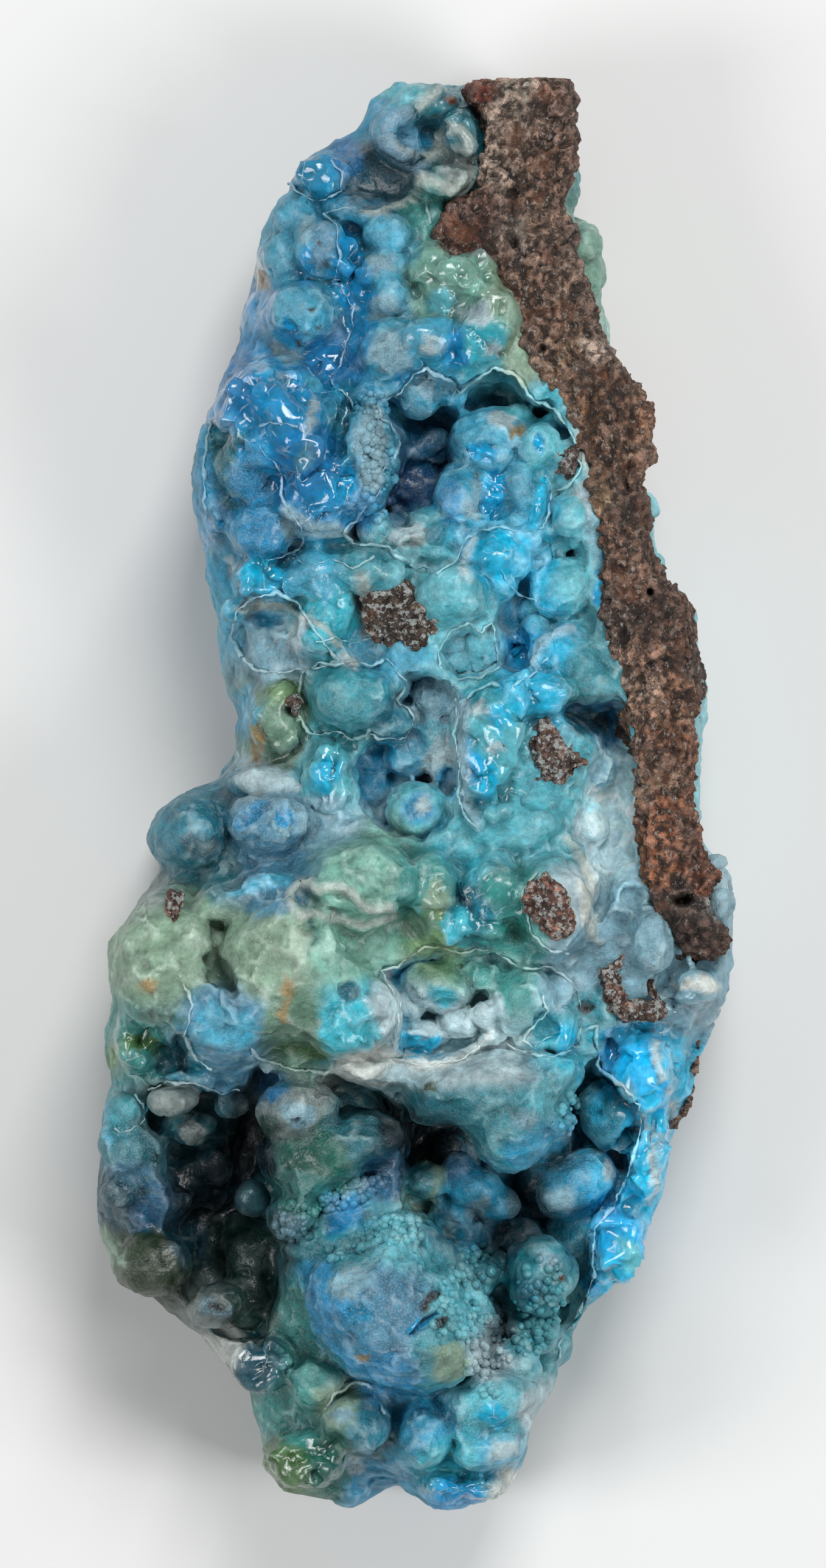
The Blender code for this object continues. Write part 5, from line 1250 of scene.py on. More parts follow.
def maths(tree, operation, first, second, third=None):
    """Add a Math node fed by sockets or numbers, and return what it gives."""
    node = tree.nodes.new("ShaderNodeMath")
    node.operation = operation
    for place, value in enumerate((first, second, third)):
        if isinstance(value, bpy.types.NodeSocket):
            tree.links.new(value, node.inputs[place])
        elif value is not None:
            node.inputs[place].default_value = value
    return node.outputs[0]


def mixed_colour(tree, share, first, second, blend="MIX"):
    """Mix two colours, given as sockets or values, by a share."""
    node = tree.nodes.new("ShaderNodeMix")
    node.data_type = "RGBA"
    node.blend_type = blend
    for place, value in ((0, share), (6, first), (7, second)):
        if isinstance(value, bpy.types.NodeSocket):
            tree.links.new(value, node.inputs[place])
        else:
            node.inputs[place].default_value = value
    return node.outputs[2]


def ramped(tree, value, low, high, out_low=0.0, out_high=1.0):
    """Stretch a value between two limits, held inside them."""
    node = new_node(tree, "ShaderNodeMapRange", {1: low, 2: high, 3: out_low, 4: out_high})
    tree.links.new(value, node.inputs[0])
    return node.outputs[0]


def noise_of(tree, spot, grain, detail=3.0, roughness=0.55):
    """Noise with bumps of about the grain given in millimetres."""
    node = new_node(
        tree, "ShaderNodeTexNoise", {"Scale": 1.0 / (grain * MM), "Detail": detail, "Roughness": roughness}
    )
    tree.links.new(spot, node.inputs["Vector"])
    return node.outputs["Fac"]


def bumped(tree, height, reach, below=None):
    """A bump of a height in millimetres, on top of another bump."""
    node = new_node(tree, "ShaderNodeBump", {"Strength": 1.0, "Distance": reach * MM})
    tree.links.new(height, node.inputs["Height"])
    if below is not None:
        tree.links.new(below, node.inputs["Normal"])
    return node.outputs["Normal"]


def facet_height(tree, spot, size):
    """Tilted flats of a broken glassy face, about so wide in millimetres."""
    cells = new_node(tree, "ShaderNodeTexVoronoi", {"Scale": 1.0 / (size * MM)})
    tree.links.new(spot, cells.inputs["Vector"])
    away = new_node(tree, "ShaderNodeVectorMath", operation="SUBTRACT")
    tree.links.new(spot, away.inputs[0])
    tree.links.new(cells.outputs["Position"], away.inputs[1])
    lean = new_node(tree, "ShaderNodeVectorMath", {1: (0.5, 0.5, 0.5)}, operation="SUBTRACT")
    tree.links.new(cells.outputs["Color"], lean.inputs[0])
    height = new_node(tree, "ShaderNodeVectorMath", operation="DOT_PRODUCT")
    tree.links.new(away.outputs[0], height.inputs[0])
    tree.links.new(lean.outputs[0], height.inputs[1])
    return maths(tree, "MULTIPLY", height.outputs["Value"], 1.0 / (size * MM))


def read_layer(tree, name, output):
    """Read what was laid on the skin."""
    node = new_node(tree, "ShaderNodeAttribute", attribute_name=name)
    return node.outputs[output]


def gibbsite_stone(name):
    """Waxy translucent gibbsite, glassy where it broke and frosted where it grew last."""
    material = bpy.data.materials.new(name)
    material.use_nodes = True
    tree = material.node_tree
    shader = tree.nodes["Principled BSDF"]
    spot = tree.nodes.new("ShaderNodeTexCoord").outputs["Object"]
    glass = read_layer(tree, "stone_glass", "Fac")
    frost = read_layer(tree, "stone_frost", "Fac")
    tint = read_layer(tree, "stone_tint", "Color")
    cloud = ramped(tree, noise_of(tree, spot, 1.4, 2.0), 0.3, 0.7, 0.78, 1.22)
    mottle = ramped(tree, noise_of(tree, spot, 0.3, 1.0), 0.3, 0.7, 0.85, 1.15)
    value = maths(tree, "MULTIPLY", cloud, mottle)
    shade = new_node(tree, "ShaderNodeCombineColor")
    for place in range(3):
        tree.links.new(value, shade.inputs[place])
    colour = mixed_colour(tree, 1.0, tint, shade.outputs[0], "MULTIPLY")
    grain = noise_of(tree, spot, 0.11, 2.0)
    powder = maths(tree, "MULTIPLY", ramped(tree, grain, 0.5, 0.64), frost)
    bleached = mixed_colour(tree, 0.3, colour, (0.72, 0.84, 0.88, 1.0))
    colour = mixed_colour(tree, maths(tree, "MULTIPLY", powder, 0.55), colour, bleached)
    # Pale crack lines on the glassy faces, partly real cracks and partly painted highlight standing in for
    # their glints.
    seams = new_node(tree, "ShaderNodeTexVoronoi", {"Scale": 1.0 / (1.2 * MM)}, feature="DISTANCE_TO_EDGE")
    tree.links.new(spot, seams.inputs["Vector"])
    lines = ramped(tree, seams.outputs["Distance"], 0.0, 0.04, 1.0, 0.0)
    lines = maths(tree, "MULTIPLY", lines, ramped(tree, noise_of(tree, spot, 0.8, 1.0), 0.52, 0.62))
    crack_glint_line = mixed_colour(tree, 0.6, colour, (0.75, 0.85, 0.88, 1.0))
    lines = maths(tree, "MULTIPLY", lines, maths(tree, "MULTIPLY_ADD", glass, 0.5, 0.12))
    colour = mixed_colour(tree, lines, colour, crack_glint_line)
    tree.links.new(colour, shader.inputs["Base Color"])
    dull = maths(tree, "MULTIPLY_ADD", frost, 0.4, 0.2)
    clear = maths(tree, "MULTIPLY_ADD", glass, -0.9, 1.0)
    rough = maths(tree, "MULTIPLY", dull, clear)
    rough = maths(tree, "ADD", rough, ramped(tree, grain, 0.3, 0.7, 0.0, 0.14))
    rough = maths(tree, "MAXIMUM", rough, 0.07)
    tree.links.new(rough, shader.inputs["Roughness"])
    tree.links.new(maths(tree, "MULTIPLY_ADD", glass, 0.6, 0.08), shader.inputs["Coat Weight"])
    shader.inputs["Coat Roughness"].default_value = 0.04
    shader.inputs["Subsurface Weight"].default_value = 0.3
    shader.inputs["Subsurface Radius"].default_value = (0.3, 0.8, 1.0)
    shader.inputs["Subsurface Scale"].default_value = 0.00045
    shader.inputs["IOR"].default_value = 1.57
    shader.inputs["Specular IOR Level"].default_value = 0.32
    broken = maths(tree, "MULTIPLY", facet_height(tree, spot, 1.3), glass)
    waves = noise_of(tree, spot, 0.55, 2.0)
    sugar = maths(tree, "MULTIPLY", noise_of(tree, spot, 0.1, 2.0), frost)
    normal = bumped(tree, maths(tree, "MULTIPLY", waves, clear), 0.12)
    normal = bumped(tree, broken, 0.2, normal)
    normal = bumped(tree, sugar, 0.09, normal)
    tree.links.new(normal, shader.inputs["Normal"])
    return material


crust_stone = gibbsite_stone("gibbsite_stone")
crust.data.materials.append(crust_stone)
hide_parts("gibbsite")
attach(crust, "root")

# The broken edges of the crust's layers show as thin pale rims. They are the crust's own stone,
# bleached with chalk, and stand a little proud along the hollows and the cracks.
# One strand down the left edge is a painted highlight where the glassy skin glints.
RIM_STEP = 0.16
RIM_CHALK = 0.75
RIM_LINES = [
    (0.1, [(-2.8, 31.95), (-3.8, 32.1), (-5, 31.9)]),
    (0.13, [
        (-5, 31.9), (-4.4, 31.3), (-4.3, 30.5), (-4.2, 29.5), (-4.3, 28.6), (-4.5, 28.1), (-4.1, 27.9),
        (-3.7, 27.2), (-3.4, 26.7), (-3.5, 25.6), (-3.8, 24.8), (-4, 24), (-4.3, 23.3), (-4.8, 22.85),
        (-4.6, 22.4), (-4, 22), (-3.6, 21.6), (-3.4, 21.2), (-3.2, 20.9),
    ]),
    (0.09, [(-7, 33.7), (-6.2, 33), (-5.5, 32.6), (-4.6, 32.8), (-4, 33.2), (-4.1, 34.2), (-4.8, 35)]),
    (0.09, [
        (-1.6, 7.4), *PLATE_BREAK, (-2.7, 2.9),
    ]),
    (0.09, [(7, -11), (7.2, -12), (6.3, -13), (5.8, -13.6), (6.5, -13.9), (7.6, -13.2)]),
    (0.1, [
        (-9.2, -13.7), (-8.5, -14.5), (-7.6, -14.9), (-6.5, -15.2), (-5, -15.3), (-4, -15), (-3.4, -14.8),
    ]),
    (0.11, [
        (9, -13.2), (9.5, -13), (10, -12.9), (10, -14), *GLASS_BREAK,
    ]),
    (0.1, [(-5, -34), (-4.6, -33.2), (-3.6, -32.6), (-2.6, -32.5), (-2.2, -33.3), (-1.6, -34.3)]),
    (0.08, [(-8.9, 19.6), (-8.5, 19.4), (-8.4, 18.6), (-7.6, 18), (-7.3, 17), (-7.4, 16.3), (-7, 15.4),
            (-6.3, 14.6), (-6.1, 14), (-6.4, 13.4), (-7.2, 12.9), (-8.4, 12.8)]),
    # Painted highlight: a thin white strand down the left edge, where the glassy skin glints.
    (0.1, [(-11.3, 20.4), (-11.5, 19), (-11.6, 17.5), (-11.6, 16), (-11.4, 14.8)]),
    (0.08, [(-8.9, 20), (-8, 20.2), (-7.2, 20.2), (-6.4, 20)]),
    (0.09, [(12.95, 0.8), (12.9, -1), (12.9, -3), (12.95, -5)]),
    (0.1, [(-15.4, -16.6), (-15, -17.2), (-14.9, -18), (-15.6, -18.6), (-16.2, -18.7), (-16.6, -18.2)]),
    (0.08, [(-14.7, -16.3), (-13.6, -15.8), (-12, -16), (-10.6, -16.5), (-9.6, -16.2)]),
    (0.08, [(7, 10), (6.4, 10.6), (5.4, 11.2), (4.8, 11.9), (4.6, 12.4)]),
    (0.08, [(0.5, 32.9), (0.7, 32.2), (0.8, 31.6), (0.9, 31.2)]),
    (0.1, [(-6.2, 6.6), (-5.4, 7.2), (-4.4, 7), (-3.4, 7.3), (-2.4, 7), (-1.6, 7.4)]),
    (0.1, [
        (-6.2, 6.6), (-6.4, 5.6), (-6.5, 4.4), (-6, 3.4), (-5.2, 3.1), (-4.4, 3.4), (-3.6, 3),
        (-2.7, 3.2), (-2.4, 3.6),
    ]),
    (0.11, [
        (-9.6, 7.4), (-10.2, 8.6), (-9.8, 10), (-8.8, 10.8), (-7.6, 11), (-6.6, 10.4), (-5.8, 9.4),
        (-5, 8.2), (-4.2, 7.2),
    ]),
    (0.1, [(-4.2, 7.2), (-5.6, 6.9), (-7.2, 6.6), (-8.6, 6.7), (-9.6, 7.4)]),
    (0.1, [(2.6, 4.9), (3.2, 5.6), (4.2, 6), (5, 5.6), (5.8, 6.1), (6.6, 6.6), (7.4, 7.6)]),
    (0.09, [(2.2, 5.2), (2.3, 4.2), (2.1, 3.2), (2.3, 2.2), (2.4, 1), (2.3, 0), (2.6, -1), (3.4, -1.9)]),
    (0.09, [(6.6, -4.4), (5.8, -5.4), (6, -6.6), (6.4, -7.8), (7.4, -8.6), (8.6, -8.8)]),
    (0.09, [(-12.6, -10.4), (-12.2, -11.8), (-12.6, -13.2), (-12, -14.6), (-11, -15.2)]),
    (0.09, [(-2.2, 13), (-3.4, 12.4), (-4.6, 12.8), (-5.8, 12.4), (-6.8, 12.9)]),
    (0.09, [(-5.4, 8.2), (-4.4, 8.6), (-3.2, 8.2), (-2.2, 8.7), (-1.6, 9.6)]),
]
cast_from = BVHTree.FromObject(crust, bpy.context.evaluated_depsgraph_get())


def ground_at(x, y, reach=0.22):
    """The crust's highest skin close to a spot, in millimetres."""
    heights = []
    for step_x, step_y in ((0, 0), (reach, 0), (-reach, 0), (0, reach), (0, -reach)):
        above = Vector((x + step_x, y + step_y, 40.0)) * MM
        hit, _, _, _ = cast_from.ray_cast(above, Vector((0, 0, -1)))
        if hit is not None:
            heights.append(hit.z / MM)
    return max(heights) if heights else None


def rim_path(corners, closed):
    """Even steps along a rim, swayed a little, on the crust's skin."""
    ends = corners[1:] + corners[:1] if closed else corners[1:]
    path = []
    for start, end in zip(corners, ends):
        run = Vector(end) - Vector(start)
        steps = max(1, round(run.length / RIM_STEP))
        path.extend(Vector(start) + run * (step / steps) for step in range(steps))
    flat = np.array([(spot.x, spot.y, 0.0) for spot in path])
    sway = np.stack([rough_noise(flat, 0.5, 151), rough_noise(flat, 0.5, 161)], axis=1) * 0.1
    placed = flat[:, :2] + sway
    heights = [ground_at(*spot) for spot in placed]
    known = [height for height in heights if height is not None]
    heights = np.array([known[0] if height is None else height for height in heights])
    kernel = np.ones(5) / 5.0
    heights = np.convolve(np.pad(heights, 2, mode="edge"), kernel, mode="valid")
    return np.column_stack([placed, heights])


def strand_object(name, strands):
    """Thin round strands of changing thickness, joined into one mesh: radius, path, closed."""
    curve = bpy.data.curves.new(name, "CURVE")
    curve.dimensions = "3D"
    curve.bevel_depth = MM
    curve.bevel_resolution = 1
    curve.use_fill_caps = True
    for radius, path, closed in strands:
        spline = curve.splines.new("POLY")
        spline.points.add(len(path) - 1)
        widths = radius * np.clip(0.6 + 0.9 * rough_noise(path, 1.1, 171), 0.03, 1.3)
        for point, spot, width in zip(spline.points, path, widths):
            point.co = (*(Vector(spot) * MM), 1.0)
            point.radius = width
        spline.use_cyclic_u = closed
    drawn = bpy.data.objects.new(name, curve)
    bpy.context.scene.collection.objects.link(drawn)
    bpy.context.view_layer.update()
    shaped = drawn.evaluated_get(bpy.context.evaluated_depsgraph_get())
    mesh = bpy.data.meshes.new_from_object(shaped)
    bpy.data.objects.remove(drawn, do_unlink=True)
    return solid_object(name, mesh)


strands = [(radius, rim_path(corners, False), False) for radius, corners in RIM_LINES]
strands += [
    (radius, rim_path(corners, True), True) for _, _, radius, corners in CRUST_HOLLOWS if radius > 0.0
]
rims = strand_object("crust_rims", strands)
points = skin_points(rims)
shift_skin(rims, points + skin_normals(rims) * (0.05 * rough_noise(points, 0.3, 181))[:, None])
keep_in_box(rims)
rims.data.shade_smooth()
paint_crust(rims, RIM_CHALK)
rims.data.materials.append(crust_stone)
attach(rims, "root")

# Tiny frosted beads where the crust's skin ends, on the lower ball, on the green lump and beside
# the blue glass. They are the same stone, grown last.
BEAD_SEED = 21
BEAD_ZONES = [
    (90, -2, 17.8, 0.9, 2.8, 0), (80, -3.6, -22, 2.2, 0.6, 25), (60, -6.6, -23.6, 1.2, 1.2, 0),
    (90, 2.6, -27.4, 1.2, 3, -25), (80, 4, -31, 1.3, 2.2, 0), (60, -1.2, -24, 1.6, 0.8, 0),
    (50, -3.4, -24.8, 1.6, 0.5, 20), (50, 7, -27.6, 1.6, 2, 0), (40, 6.4, -30, 1.2, 1, 0),
    (30, -2.4, 21.2, 1, 0.7, 0), (30, 8.4, -17.6, 0.6, 1.2, 0),
]
BEAD_RADII = (0.12, 0.34)
BEAD_SIDES = (8, 5)
draw = random.Random(BEAD_SEED)
form = bmesh.new()
for count, x, y, along, across, turn in BEAD_ZONES:
    for _ in range(count):
        reach, angle = math.sqrt(draw.random()), draw.uniform(0.0, 2.0 * math.pi)
        spot = Matrix.Rotation(math.radians(turn), 2) @ Vector(
            (along * reach * math.cos(angle), across * reach * math.sin(angle))
        )
        ground = ground_at(x + spot.x, y + spot.y, 0.05)
        radius = draw.uniform(*BEAD_RADII)
        if ground is not None:
            place = Matrix.Translation(Vector((x + spot.x, y + spot.y, ground + 0.15 * radius)) * MM)
            place = place @ Matrix.Scale(radius * MM, 4)
            bead = bmesh.new()
            bmesh.ops.create_uvsphere(
                bead, u_segments=BEAD_SIDES[0], v_segments=BEAD_SIDES[1], radius=1.0, matrix=place
            )
            shape_into(form, bead)
beads = solid_object("frost_beads", mesh_from("frost_beads", form))
keep_in_box(beads)
paint_crust(beads)
beads.data.shade_smooth()
beads.data.materials.append(crust_stone)
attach(beads, "root")

# The ironstone matrix: a broken brown slab of limonite grains on which the crust grew, with dust and white
# streaks on its face, and painted shade and highlights on its grains. It has no coating, and its back was
# sawn with the crust's.
MATRIX_CELL = 0.25
MATRIX_VOXEL = 0.17
MATRIX_TRIANGLES = 110000
MATRIX_EDGE = [(12.5, 0.35, [
    (2.6, 39), (3.4, 39.4), (8.4, 39.4), (8.7, 37.6), (9, 35.2), (8.3, 33.6), (8.1, 32.2), (8.8, 30.6),
    (9.4, 28), (10.2, 25.2), (10.8, 23.8), (12.3, 22.4), (13, 20.6), (12.9, 18.6), (12.3, 17.2),
    (12.9, 16.2), (12.8, 15), (12.9, 13), (13.3, 11.9), (14.6, 10.9), (15.3, 9.6), (15.6, 7.6), (16, 5.4),
    (15.4, 4), (15.5, 2.6), (15.3, 0.6), (15.3, -1.6), (15.6, -3), (17, -4.6), (16.2, -5.4), (15.8, -6.4),
    (17.3, -7.4), (17.4, -9), (16.2, -9.7), (15.9, -12.6), (15.5, -15.4), (15.4, -17.2), (14.2, -18.7),
    (12.9, -16.6), (13.3, -12.6), (13, -8.6), (12.6, -5.6), (12.6, -3.4), (12.2, 0), (11.6, 3.2),
    (10.8, 6.8), (10.2, 10), (10, 13.6), (9.2, 17.6), (8.6, 20.4), (7.4, 22.4), (6, 23.4), (5.2, 25.4),
    (4.6, 28.2), (3.4, 29.4), (1.9, 28.8), (0.9, 30.6), (1.8, 32.6), (3.4, 33.4), (3.6, 36.6),
])]
MATRIX_LEVELS = [
    (5, 37, 14.6), (6, 32, 16.2), (7.5, 27, 17), (9.5, 23, 17.2), (11, 19, 17.6), (11.8, 14, 17.8),
    (13, 8, 17.8), (14, 3, 17.6), (14.2, -2, 17.4), (15, -7, 17.6), (14.6, -11, 12), (14.4, -16, 10.5),
    (2.4, 31, 16.4), (15.4, 6, 16.6), (12.6, 20.6, 16.6), (15.2, 0, 16.6),
]
MATRIX_PITS = [
    (0.9, 5.4, 33.2, 0.4, 0.4), (0.7, 9.4, 25.6, 0.4, 0.7, 30), (0.7, 11.8, 17.4, 0.4, 0.9),
    (1, 12.9, 11, 0.2, 0.25), (1.4, 14.8, -5.8, 0.8, 0.4), (0.6, 7, 24.4, 0.2, 0.3, 30),
    (0.8, 5.4, 30.2, 0.3, 0.4),
]
TINT_STRENGTH = 0.82
# Colours on its face: x, y, reach, red, green, blue
MATRIX_TINTS = [
    (5.6, 38.2, 1.1, 205, 192, 180), (4.1, 38.7, 0.7, 120, 58, 42), (7.4, 37.6, 1.2, 122, 98, 86),
    (7.4, 34, 1.6, 126, 102, 88), (5.2, 34.6, 0.9, 176, 164, 152), (7, 31, 1.4, 136, 114, 100),
    (5.9, 31, 0.7, 200, 192, 182), (8.6, 30.2, 0.8, 108, 92, 84), (8, 27, 1.4, 130, 110, 96),
    (6.2, 27.2, 0.9, 120, 96, 80), (9.6, 24, 0.9, 186, 174, 164), (8.4, 24.2, 1, 134, 112, 92),
    (10, 22, 1.2, 120, 90, 66), (11.8, 20.6, 1.2, 142, 108, 84), (10.8, 18.4, 1.2, 108, 84, 66),
    (12.2, 18.2, 1, 138, 112, 94), (11.6, 15, 1.2, 128, 102, 86), (10.4, 16.2, 0.5, 196, 172, 138),
    (12.2, 12.6, 1, 122, 96, 82), (11.4, 9.6, 0.9, 62, 46, 38), (14.2, 10.2, 1, 92, 66, 52),
    (13.2, 8, 1.2, 140, 112, 96), (15.6, 6.8, 0.8, 70, 60, 56), (14, 5, 1.2, 146, 112, 90),
    (12.9, 5.6, 0.8, 160, 140, 124), (14.4, 2.4, 1, 142, 100, 76), (13.6, 1, 0.8, 146, 124, 108),
    (14.6, -0.8, 1, 138, 94, 70), (14.2, -3.2, 1, 150, 102, 74), (16, -4.6, 0.8, 132, 78, 52),
    (15, -6, 0.8, 74, 66, 62), (15.8, -8.2, 1.2, 84, 58, 46), (17, -8.4, 0.7, 104, 66, 50),
    (14.8, -12, 1.4, 100, 74, 60), (14.6, -16.4, 1.2, 122, 98, 84), (2.6, 31.4, 1.2, 92, 58, 44),
    (1.6, 30, 1, 84, 50, 38), (16.8, -6.2, 0.6, 165, 180, 185),
]


def matrix_relief(solid):
    """Break the slab's face into fine grains, chips and short upright ledges."""
    points, normals = skin_points(solid), skin_normals(solid)
    lift = 0.35 * rough_noise(points, 3.4, 201) + 0.2 * rough_noise(points, 1.1, 205)
    for size, height, seed in ((1.7, 0.24, 211), (0.7, 0.24, 221), (0.4, 0.2, 231)):
        first, second, _, number = stone_cells(points, size, seed)
        lift += height * (number - 0.4 + 0.6 * np.clip((second - first) / size, 0.0, 1.0) ** 0.6)
    ledges = points * np.array([1.0, 0.3, 1.0])
    lift += 0.2 * rough_noise(ledges, 0.6, 241)
    ragged = 0.3 * rough_noise(points, 0.6, 251)
    for drop, *oval in MATRIX_PITS:
        reach = oval_reach(points, *oval) + ragged
        lift -= np.clip(normals[:, 2], 0.0, 1.0) * drop * np.clip((1.1 - reach) / 0.5, 0.0, 1.0)
    shift_skin(solid, points + normals * (lift - 0.15)[:, None])


matrix_table = edge_table(MATRIX_EDGE)
matrix = pillow(
    "ironstone_slab", matrix_table, lambda points: smooth_front(points, matrix_table, MATRIX_LEVELS),
    2.0, MATRIX_CELL,
)
remesh(matrix, MATRIX_VOXEL)
matrix_relief(matrix)
trim_underside(matrix)
thin_out(matrix, MATRIX_TRIANGLES)
keep_in_box(matrix)
matrix.data.shade_smooth()


def paint_ironstone(solid, tints):
    """Lay brown tints and darker grains on a skin, with painted shade in its crevices and pale dust and
    painted highlights on its tips.
    """
    points = skin_points(solid)
    facing = np.clip(skin_normals(solid)[:, 2] * 2.0 + 0.4, 0.0, 1.0)
    moved = points.copy()
    moved[:, :2] += np.stack([rough_noise(points, 1.2, 261), rough_noise(points, 1.2, 271)], axis=1) * 0.5
    table = np.array(tints, dtype=float)
    spans = ((moved[:, None, :2] - table[None, :, :2]) ** 2).sum(axis=2) / table[:, 2] ** 2
    weights = 1.0 / (spans + 0.1) ** 3
    colours = weights @ (table[:, 3:] / 255.0) ** 2.2 / weights.sum(axis=1)[:, None]
    _, _, _, number = stone_cells(points, 0.36, 281)
    colours *= (0.45 + 1.1 * number)[:, None]
    _, _, _, number = stone_cells(points, 0.9, 291)
    colours *= (0.8 + 0.4 * number)[:, None]
    swell = skin_swell(solid)
    # Painted shade and light: darker in the crevices between grains, lighter on the grains that stand out.
    colours *= (1.0 + 0.9 * np.clip(swell / 0.07, -0.85, 0.6))[:, None]
    # Pale dust that is also a painted highlight: pinkish white on the ridges and on the faces that look up.
    dust_and_highlight = 0.32 * np.clip(swell / 0.1 + rough_noise(points, 1.6, 521) - 0.2, 0.0, 1.0) * facing
    colours += ((0.62, 0.5, 0.45) - colours) * dust_and_highlight[:, None]
    store_colour(solid, "stone_tint", np.clip(colours * TINT_STRENGTH * (1.1, 0.97, 0.88), 0.0, 0.9))


paint_ironstone(matrix, MATRIX_TINTS)


def iron_stone(name, crusted=0.0):
    """Granular brown ironstone with dark grains, rust and pale dust, crusted white in specks."""
    material = bpy.data.materials.new(name)
    material.use_nodes = True
    tree = material.node_tree
    shader = tree.nodes["Principled BSDF"]
    spot = tree.nodes.new("ShaderNodeTexCoord").outputs["Object"]
    colour = read_layer(tree, "stone_tint", "Color")
    grains = new_node(tree, "ShaderNodeTexVoronoi", {"Scale": 1.0 / (0.38 * MM)})
    tree.links.new(spot, grains.inputs["Vector"])
    split = new_node(tree, "ShaderNodeSeparateColor")
    tree.links.new(grains.outputs["Color"], split.inputs[0])
    strong = ramped(tree, split.outputs[0], 0.0, 1.0, 0.5, 1.4)
    shade = new_node(tree, "ShaderNodeCombineColor")
    for place in range(3):
        tree.links.new(strong, shade.inputs[place])
    colour = mixed_colour(tree, 1.0, colour, shade.outputs[0], "MULTIPLY")
    dark = ramped(tree, noise_of(tree, spot, 0.6, 3.0, 0.75), 0.5, 0.58)
    colour = mixed_colour(tree, maths(tree, "MULTIPLY", dark, 0.8), colour, (0.03, 0.02, 0.016, 1.0))
    streaks = new_node(tree, "ShaderNodeVectorMath", {1: (1.0, 0.7, 1.0)}, operation="MULTIPLY")
    tree.links.new(spot, streaks.inputs[0])
    dust = ramped(tree, noise_of(tree, streaks.outputs[0], 0.3, 3.0, 0.75), 0.56, 0.66)
    colour = mixed_colour(tree, maths(tree, "MULTIPLY", dust, 0.6), colour, (0.62, 0.54, 0.48, 1.0))
    seeps = ramped(tree, noise_of(tree, streaks.outputs[0], 2.6, 3.0), 0.46, 0.64)
    colour = mixed_colour(tree, maths(tree, "MULTIPLY", seeps, 0.55), colour, (0.035, 0.024, 0.02, 1.0))
    rust = ramped(tree, noise_of(tree, spot, 1.7, 3.0), 0.56, 0.68)
    colour = mixed_colour(tree, maths(tree, "MULTIPLY", rust, 0.4), colour, (0.24, 0.09, 0.04, 1.0))
    specks = ramped(tree, noise_of(tree, spot, 0.4, 3.0, 0.65), 0.52, 0.58)
    colour = mixed_colour(tree, maths(tree, "MULTIPLY", specks, crusted), colour, (0.6, 0.64, 0.62, 1.0))
    tree.links.new(colour, shader.inputs["Base Color"])
    rough = ramped(tree, noise_of(tree, spot, 0.2), 0.3, 0.7, 0.55, 0.95)
    tree.links.new(rough, shader.inputs["Roughness"])
    normal = bumped(tree, noise_of(tree, spot, 0.5, 4.0, 0.7), 0.5)
    normal = bumped(tree, noise_of(tree, spot, 0.14, 3.0, 0.7), 0.2, normal)
    tree.links.new(normal, shader.inputs["Normal"])
    return material


brown_stone = iron_stone("ironstone")
matrix.data.materials.append(brown_stone)
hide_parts("ironstone_matrix")
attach(matrix, "root")

# The thin blue-green crust on the matrix's far side, near its upper end. It is the same gibbsite,
# grown as a line of small beads over the ironstone's edge.
SIDE_CRUST_EDGE = [(9, 0.9, [
    (8.6, 34.8), (9.1, 34.6), (8.7, 33), (8.6, 31.6), (9.9, 31.1), (10.4, 28.8), (10.1, 27.4),
    (10.6, 25.4), (10.6, 24.2), (9.4, 24.4), (8.2, 27), (7.6, 30.4), (7.4, 33.6),
])]
SIDE_CRUST_LEVELS = [(8.4, 34, 12.0), (9, 30, 14.6), (9.8, 26, 13.4)]
SIDE_CRUST_LUMPS = [
    (9.3, 30.2, 15.2, 0.9, 1), (9.4, 28.4, 14.4, 0.8, 1), (9.7, 25.8, 13.4, 0.7, 0.9),
    (8.3, 33.4, 12.2, 0.6, 1),
]
side_table = edge_table(SIDE_CRUST_EDGE)
side_crust = pillow(
    "side_crust_skin", side_table, lambda points: smooth_front(points, side_table, SIDE_CRUST_LEVELS),
    2.0, CRUST_CELL,
)
form = bmesh.new()
form.from_mesh(side_crust.data)
lumps_into(form, SIDE_CRUST_LUMPS + knobs(SIDE_CRUST_EDGE[0][2][:9], 1, (0.5, 1.0), (5.0, 11.4), 511), 3)
side_crust.data = mesh_from("side_crust_skin", form)
remesh(side_crust, CRUST_VOXEL)
points, normals = skin_points(side_crust), skin_normals(side_crust)
first, _, _, _ = stone_cells(points, 0.8, 301)
lift = 0.25 * np.sqrt(np.clip(1.0 - (first / 0.6) ** 2, 0.0, 1.0)) + 0.08 * rough_noise(points, 1.2, 311)
shift_skin(side_crust, points + normals * lift[:, None])
trim_underside(side_crust)
keep_in_box(side_crust)
paint_crust(side_crust)
side_crust.data.shade_smooth()
side_crust.data.materials.append(crust_stone)
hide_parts("side_crust")
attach(side_crust, "root")

